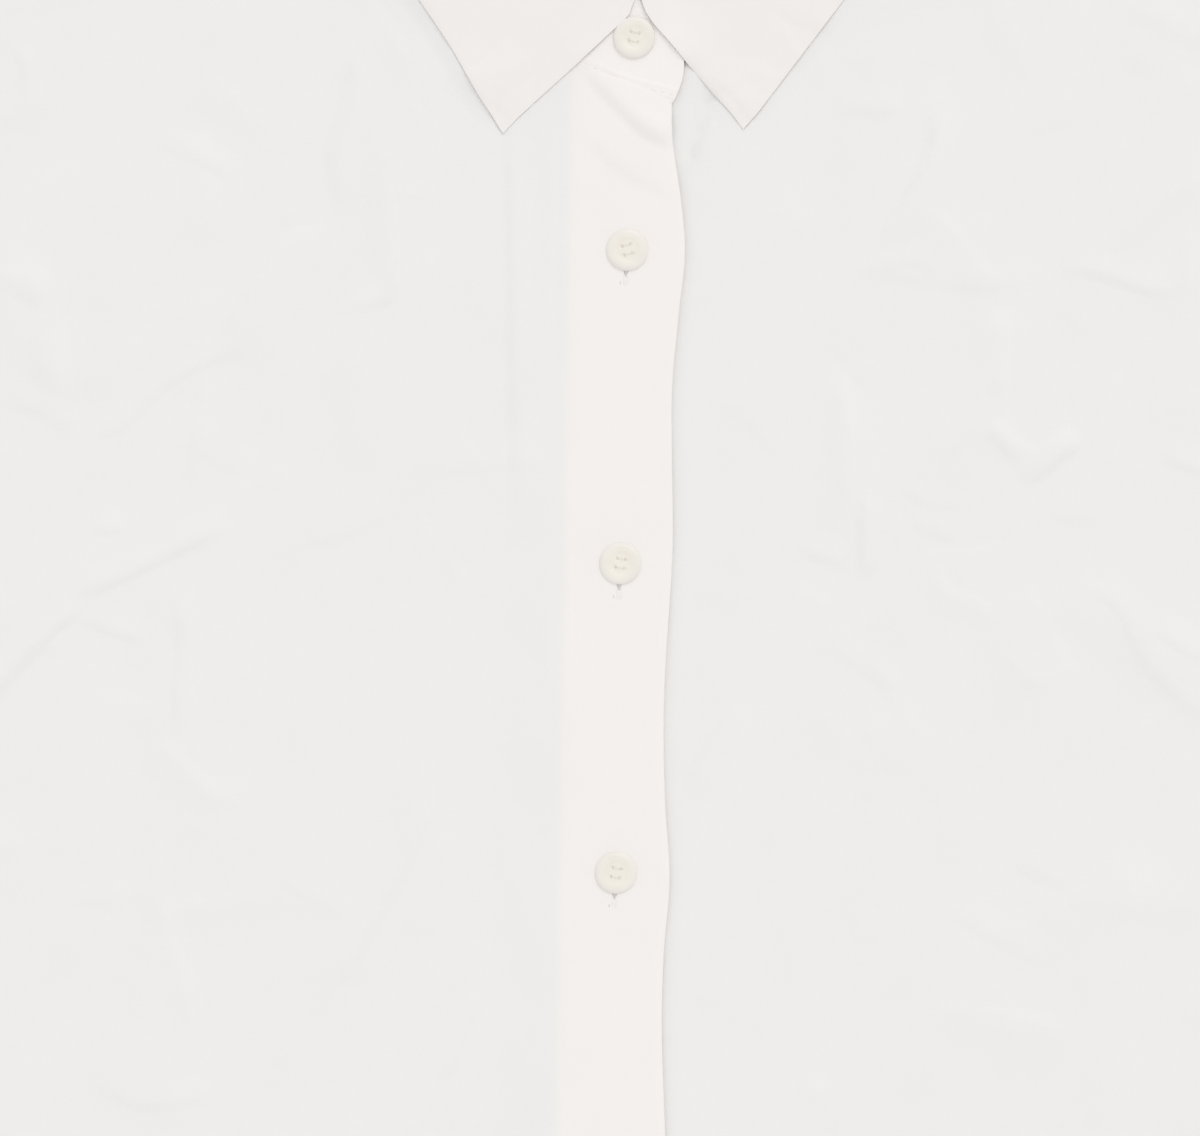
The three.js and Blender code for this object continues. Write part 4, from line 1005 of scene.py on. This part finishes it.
SEAM, RIM, TIP = (all_round(key) for key in ("seam", "rim", "tip"))
STAND_HEIGHT, STAND_END_RISE = 25, 0.6
STAND_RIDGES = ((0, -0.3, 1.5), (1.2, 0.14, 0.5), (3.2, 0.12, 0.6))  # place up the stand, height, spread
STAND_V = np.concatenate([steps(0, 0.2, 22), steps(0.2, 1, 18), [1.0]])
UP_STAND = STAND_HEIGHT * STAND_V
OVER_Z, UNDER_Z = RIGHT_HALF[0]["seam"][2], LEFT_HALF[-1]["seam"][2]


def stand_end(seam, rim, bulge, z):
    low, high = np.array([*seam, z]), np.array([*rim, z + STAND_END_RISE])
    swell = np.sin(math.pi * STAND_V) ** 0.8
    return low + (high - low) * STAND_V[:, None] + swell[:, None] * (bulge, 0, 0)


def blend(a, b, shares):
    return a * (1 - shares) + b * shares


stand = blend(SEAM[:, None], RIM[:, None], STAND_V[None, :, None])
ends_in = np.linspace(0, 1, int(14 / COARSER) + 2)[:-1][:, None, None]
over_end = blend(stand_end((11.8, -80), (9.1, -55), 4.4, OVER_Z), stand[0], ends_in)
under_end = blend(stand[-1], stand_end((-12.5, -77.2), (-10, -53.5), -2.5, UNDER_Z), ends_in)[1:]
stand = np.concatenate([over_end, stand, under_end])
stand_relief = 0.2 + sum(h * hill(UP_STAND - up, run) for up, h, run in STAND_RIDGES)
in_sight = np.concatenate([np.ones(len(over_end)), smooth((1.3 - T) / 0.5), np.zeros(len(under_end))])
stand[..., 2] += stand_relief * in_sight[:, None]
stand_front = stand[: len(stand) // 4]
stand_front[..., 2] += 0.5 * leaf_raise(stand_front[..., 0], stand_front[..., 1], reach=3)
cloth(
    "stand_of_collar", stand, STAND_THICK, "stand_cloth", "collar_stand",
    rounded=3, flat=(0.42, 0.028), held="folded", rests_on=["yoke_panel"],
)

LEAF_OUT = np.concatenate([steps(0.02, 0.9, 42), steps(0.9, 1, 12), [1.0]])
# How far each leaf's inner edge swells toward the centre, by share of the way out.
RIGHT_BULGE = ((0, 0.13, 0.26, 0.49, 0.75, 1), (0.8, 3.8, 3.5, 2.7, 1.4, 0.2))
LEFT_BULGE = ((0, 0.11, 0.2, 0.45, 0.75, 1), (0.1, 1.9, 2.35, 1.7, 0.7, -0.1))
ROLL_DEPTH = 2.3
LEAF_OVERHANG = 0.35 - LEAF_THICK / 2
# The leaf's inner edge: its height over the stand by share of the way out, and the shares between which
# it comes down from there to the front.
OVER_STAND = ((0, 0.35, 0.5), (1.75, 1.3, 0.9))
DOWN_TO_FRONT = (0.42, 0.58)
LEAF_HOLLOW = ((-31, -64), 0.45, (14, 6))
TIP_DRAWN, TIP_RUN = ((0, -0.6), (-0.5, -0.1)), 3.5  # how far each tip is drawn out, and from how near it
away = unit((RIM - SEAM) * (1, 1, 0))
turn = np.radians(eased([s["turn"] for s in AROUND]))
roll = eased([s["roll"] for s in AROUND])[:, None]
hand = np.where(T <= len(RIGHT_HALF) - 1, -1, 1)
off = np.stack([hand * 0.9 * np.sin(turn), 0.44 * np.sin(turn), np.cos(turn)], axis=-1) * roll
curl = [
    RIM + away * ROLL_DEPTH * math.cos(a) ** 0.8 + off * (0.5 + 0.5 * math.sin(a))
    for a in np.radians(np.linspace(-82, 80, int(16 / COARSER) + 3))
]
TIP[:, :2] += unit(TIP[:, :2] - RIM[:, :2]) * LEAF_OVERHANG
near_right, near_left = np.exp(-T / 0.4), np.exp(-(LAST - T) / 0.4)
leaf_rows = []
for s in LEAF_OUT:
    point = blend(RIM + off, TIP, s)
    point[:, 0] += near_right * np.interp(s, *RIGHT_BULGE) - near_left * np.interp(s, *LEFT_BULGE)
    point[:, 2] -= 0.5 * math.sin(math.pi * s) * np.cos(turn) * (1 - near_right - near_left)
    down = smooth((s - DOWN_TO_FRONT[0]) / (DOWN_TO_FRONT[1] - DOWN_TO_FRONT[0]))
    for near, front in ((near_right, right_front), (near_left, left_front)):
        resting = front(point[:, :1], point[:, 1:2], False)[:, 0] + LEAF_REST
        point[:, 2] += near * (blend(OVER_Z + np.interp(s, *OVER_STAND), resting, down) - point[:, 2])
    leaf_rows.append(point)
leaf = np.stack(curl + leaf_rows, axis=1)
leaf[:, len(curl) :, 2] -= spot(leaf[:, len(curl) :, 0], leaf[:, len(curl) :, 1], *LEAF_HOLLOW)
# Near its edge the leaf follows the creased front that it lies on.
out_share = np.concatenate([np.zeros(len(curl)), LEAF_OUT])[None, :]
for columns, front in ((T < LAST_FRONT_STATION, right_front), (T > LAST - LAST_FRONT_STATION, left_front)):
    x, y = leaf[columns][..., 0], leaf[columns][..., 1]
    beneath = front(x, y) - front(x, y, False) - leaf_raise(x, y)
    followed = beneath * smooth((out_share - 0.45) / 0.35)
    followed += leaf_raise(x, y, reach=60) * smooth(out_share / 0.55)
    from_end = np.minimum(T, LAST - T)[columns, None]
    leaf[columns, :, 2] += followed * smooth((LAST_FRONT_STATION - from_end) / 0.6)
for tip, drawn in zip((RIGHT_HALF[0]["tip"], LEFT_HALF[-1]["tip"]), TIP_DRAWN):
    corner = np.hypot(leaf[..., 0] - tip[0], leaf[..., 1] - tip[1])
    leaf[..., :2] += hill(corner, TIP_RUN)[..., None] * drawn
leaf[..., 2] += 0.10 * noise(leaf[..., 0], leaf[..., 1], 20, LEAF_SEED) * np.sin(math.pi * out_share)
cloth(
    "leaf_of_collar", leaf, LEAF_THICK, "collar_cloth", "collar",
    rounded=3, flat=(0.43, 0.052), held="folded", rests_on=["left_front_panel"],
)

# ---------------------------------------------------------------- buttons
BUTTON_RADIUS, BUTTON_THICK, BUTTON_LOW = 5.7, 1.4, 0.02
HOLE_SPREAD, HOLE_RADIUS, HOLE_DEPTH, DISH = 1.25, 0.55, 0.26, 0.22
RIM_FROM = 0.66  # share of a button's rings where its paler rim starts
BUTTON_SPINS = [1.05, 0.62, 0.62, 0.9, 0.5, 0.75]
BUTTON_SUNK = 0.3
THREADS = []


def ring_quads(rings):
    """Quads between rings of points, given by their indices."""
    after = np.roll(rings, -1, axis=1)
    return np.stack([rings[1:], after[1:], after[:-1], rings[:-1]], axis=-1).reshape(-1, 4).tolist()


def closed_quads(rings):
    return ring_quads(rings) + [rings[0].tolist(), rings[-1][::-1].tolist()]


def tube(path, radius, sides=6):
    tangent = unit(np.gradient(path, axis=0))
    u = unit(np.cross(tangent, (0, 0, 1.0) if abs(tangent[0, 2]) < 0.9 else (1.0, 0, 0)))
    v = np.cross(tangent, u)
    a = np.linspace(0, 2 * math.pi, sides, endpoint=False)[None, :, None]
    points = path[:, None] + radius * (np.cos(a) * u[:, None] + np.sin(a) * v[:, None])
    return points.reshape(-1, 3), closed_quads(np.arange(len(path) * sides).reshape(len(path), sides))


def button_mesh(name, x, y, z, replaced, spin, tilt=0.0):
    """A four-hole button with a dished middle, and its two pairs of threads."""
    rings, spokes = int(50 / COARSER) + 4, int(88 / COARSER)
    share = np.linspace(0, 1, rings) ** 0.9
    profile = BUTTON_THICK - DISH * (1 - smooth((share - 0.44) / 0.2)) - 0.10 * smooth((share - 0.78) / 0.14)
    profile += 0.04 * np.sin(math.pi * np.clip((share - 0.6) / 0.3, 0, 1))
    profile -= 0.55 * np.clip((share - 0.86) / 0.14, 0, 1) ** 2.2
    a = np.linspace(0, 2 * math.pi, spokes, endpoint=False)
    R, A = np.meshgrid(share * BUTTON_RADIUS, a, indexing="ij")
    X, Y = R * np.cos(A), R * np.sin(A)
    Z = np.broadcast_to(profile[:, None], X.shape).copy()
    hole_angles = spin + np.arange(4) * math.pi / 2
    holes = np.column_stack([np.cos(hole_angles), np.sin(hole_angles)]) * HOLE_SPREAD * math.sqrt(2)
    for hx, hy in holes:
        Z -= HOLE_DEPTH * smooth((HOLE_RADIUS * 1.3 - np.hypot(X - hx, Y - hy)) / (HOLE_RADIUS * 0.8))
    points = [np.stack([X[1:], Y[1:], Z[1:]], axis=-1).reshape(-1, 3)]
    sides = ((0, BUTTON_THICK - 0.9), (0.05, 0.2), (0.3, BUTTON_LOW))
    for inward, height in sides:
        r = BUTTON_RADIUS - inward
        points.append(np.column_stack([r * np.cos(a), r * np.sin(a), np.full(spokes, height)]))
    total_rings = rings - 1 + len(sides)
    index = np.arange(total_rings * spokes).reshape(total_rings, spokes)
    after = np.roll(index, -1, axis=1)
    top, low = index.size, index.size + 1
    points.append(np.array([[0, 0, Z[0, 0]], [0, 0, BUTTON_LOW]]))
    faces = ring_quads(index)
    faces += [[top, int(p), int(q)] for p, q in zip(index[0], after[0])]
    faces += [[low, int(q), int(p)] for p, q in zip(index[-1], after[-1])]
    c, s = math.cos(tilt), math.sin(tilt)

    def placed(p):
        return p @ np.array([[1, 0, 0], [0, c, s], [0, -s, c]]) + (x, y, z)

    shares = np.linspace(0, 1, 9)
    height = BUTTON_THICK - DISH - HOLE_DEPTH + 0.28 * np.sin(math.pi * shares) ** 0.5
    for start, end in (holes[:2], holes[2:]):
        run = unit(end - start)
        for beside in (-0.18, 0.18):
            path = start + (end - start) * shares[:, None] + np.array([-run[1], run[0]]) * beside
            THREADS.append(tube(placed(np.column_stack([path, height])), 0.13))
    piece = finish_piece(name, placed(np.concatenate(points)), faces, "button_pearl", replaced, "button")
    piece.data.materials.append(MATERIALS["button_rim"])
    for polygon, face in zip(piece.data.polygons, faces):
        polygon.material_index = int(rings * RIM_FROM <= face[0] // spokes < total_rings)


for i, place in enumerate(FRONT_BUTTONS):
    z = height_at(over_band, place) + BAND_THICK / 2 - BUTTON_SUNK
    button_mesh(f"front_button_{i + 1}", *place, z, f"button_front_{i + 1}", BUTTON_SPINS[i])
stand_share = (STAND_BUTTON[1] + 77) / STAND_HEIGHT
stand_top = OVER_Z + STAND_END_RISE * stand_share + 0.22 + STAND_THICK / 2
stand_tilt = math.atan2(STAND_END_RISE, STAND_HEIGHT)
button_mesh("stand_button", *STAND_BUTTON, stand_top - 0.2, "button_stand", 0.6, stand_tilt)
cuff_button = CUFF_MIDDLE + CUFF_ACROSS * CUFF["button"] + CUFF_ALONG * CUFF["length"] / 2
for side, word in ((1, "left"), (-1, "right")):
    x, y = flip(cuff_button, side)
    button_mesh(f"{word}_cuff_button", x, y, CUFF_TOP + 0.25, f"button_cuff_{word}", 0.7)
finish_parts("button_threads", THREADS, "button_thread", "shirting")

# ---------------------------------------------------------------- stitches and buttonholes
SPINDLE = [[0, 1, 2], [0, 2, 3], [0, 3, 4], [0, 4, 1], [5, 2, 1], [5, 3, 2], [5, 4, 3], [5, 1, 4]]
STITCH_RADIUS, STITCH_LIFT = 0.17, 0.05
SEWN, EMBROIDERY, SLIT_SHADES = [], [], []


def sew(path, pitch, length, radius=STITCH_RADIUS):
    """Short stitches laid along a run of 3-D points, each a small spindle sunk at its ends."""
    reader = by_length(path)
    total = np.linalg.norm(np.diff(path, axis=0), axis=1).sum()
    count = max(2, int(total / pitch))
    for k in range(count):
        a, m, b = reader(np.array([-length / 2 / total, 0, length / 2 / total]) + (k + 0.5) / count)
        run = unit(b - a)
        aside = unit(np.cross([0, 0, 1.0], run))
        up = np.cross(run, aside)
        m = m + up * STITCH_LIFT
        ring = [m + way * radius for way in (aside, up, -aside, -up)]
        SEWN.append((np.array([a, *ring, b]), SPINDLE))


def surface_path(xy, height, lift):
    return np.column_stack([xy, height(xy[None, :, 0], xy[None, :, 1])[0] + lift])


seam_row = int(np.argmin(np.abs(UP_STAND - 1.8)))
sew(stand[: len(stand) // 2, seam_row] + (0, 0, 0.38), pitch=2.4, length=1.8, radius=0.08)
SEAM_LIFT = 0.27
for side, start, height in ((-1, 5, right_front), (1, 3, left_front)):
    path = hem(side, start, 0)(np.linspace(0, 1, 80)[::side]) * (0.985, 1) + (0, 7)
    sew(surface_path(path, height, SEAM_LIFT), pitch=3.0, length=2.2)
for side, height in ((-1, right_front), (1, left_front)):
    path = flip(bezier(ARMHOLE, np.linspace(0.02, 0.98, 60)), side) - (side * 4.5, 0.5)
    sew(surface_path(path, height, SEAM_LIFT), pitch=2.8, length=2.1)
for side in (1, -1):
    for inset in (3.0, CUFF["length"] - 3.0):
        across = np.linspace(CUFF_HALF - 3, CUFF["over_end"] + 3, 40)[:, None]
        path = flip(CUFF_MIDDLE + CUFF_ACROSS * across + CUFF_ALONG * inset, side)
        sew(np.column_stack([path, np.full(40, CUFF_TOP + 0.02)]), pitch=2.6, length=1.9)
finish_parts("stitching", SEWN, "sewing_thread")


def on_band(xy, lift):
    return surface_path(np.array(xy, float), over_band, BAND_THICK / 2) + np.outer(lift, (0, 0, 1))


def flat_strip(path, widths, lift):
    """A strip lying on the band, its width changing along it."""
    top = on_band(path, lift)
    half = np.array(widths)[:, None] / 2 * (1, 0, 0)
    lower = top - (0, 0, 0.2)
    points = np.concatenate([top - half, top + half, lower + half * 0.5, lower - half * 0.5])
    return points, closed_quads(np.arange(len(points)).reshape(4, -1).T)


for bx, by in FRONT_BUTTONS:
    x, low, high = bx - 0.3, by - 9.2, by + 4.4
    for side in (-1, 1):
        for y in np.arange(low, high, 0.3):
            a, b = np.array([x + side * 0.12, y]), np.array([x + side * 1.15, y + 0.08 * side])
            EMBROIDERY.append(tube(on_band([a, (a + b) / 2, b], (-0.10, -0.05, -0.14)), 0.11, 5))
    for y in np.concatenate([np.arange(low - 0.5, low + 0.9, 0.3), [high, high + 0.3, high + 0.6]]):
        path = on_band([[x - 1.2, y], [x, y], [x + 1.2, y]], (-0.14, -0.06, -0.14))
        EMBROIDERY.append(tube(path, 0.11, 5))
    # Each slit is a flat strip of painted shade lying on the band, in the darker cloth above.
    slit = [(x, by + down) for down in (4, -4.8, -5.5, -6.2, -6.8, -7.3)]
    SLIT_SHADES.append(flat_strip(slit, (0.7, 1.35, 1.3, 0.95, 0.45, 0.1), 0.08))
    # A short sliver of painted shadow at the end bar below each buttonhole.
    bar_end_shadow = [(x - 1.4, by - 8.5), (x - 1.45, by - 8.9), (x - 1.4, by - 9.4)]
    SLIT_SHADES.append(flat_strip(bar_end_shadow, (0.1, 0.3, 0.1), 0.03))
finish_parts("buttonhole_stitching", EMBROIDERY, "sewing_thread")
finish_parts("buttonhole_slit_shades", SLIT_SHADES, "buttonhole_painted_shade")

# ---------------------------------------------------------------- floor, light and camera
FLOOR_REACH, FLOOR_Z = 4, -0.0002
floor_mesh = bpy.data.meshes.new("floor")
corners = [(x * FLOOR_REACH, y * FLOOR_REACH, FLOOR_Z) for x, y in ((-1, -1), (1, -1), (1, 1), (-1, 1))]
floor_mesh.from_pydata(corners, [], [(0, 1, 2, 3)])
floor_mesh.materials.append(MATERIALS["table_top"])
floor = add_object("floor", floor_mesh)

scene = bpy.context.scene
scene.view_settings.view_transform = "Standard"
scene.view_settings.look = "None"
scene.view_settings.exposure = 0.0
scene.world = bpy.data.worlds.new("studio")
scene.world.use_nodes = True
background = scene.world.node_tree.nodes["Background"].inputs
background["Color"].default_value = (1, 1, 1, 1)
background["Strength"].default_value = 0.89

window = bpy.data.lights.new("window", "SUN")
window.energy, window.angle = 0.5, math.radians(30)
lamp = add_object("window", window)
lamp.location = (0.8, 1.2, 1.4)
lamp.rotation_euler = (math.radians(-48), 0, math.radians(-24))  # from the top, a little to the right

FRAME_CENTRE = (-5.55 * MM, (-206.7 + SHIFT_Y) * MM)
FRAME_WIDTH, FRAME_ROLL = 0.3264, math.atan(0.01447)
CLOTH_TOP = 0.004
optics = bpy.data.cameras.new("camera")
optics.lens, optics.sensor_width, optics.clip_end = 85, 36, 50
camera = add_object("camera", optics)
camera.location = (*FRAME_CENTRE, optics.lens * FRAME_WIDTH / optics.sensor_width + CLOTH_TOP)
camera.rotation_euler = (0, 0, FRAME_ROLL)
scene.camera = camera
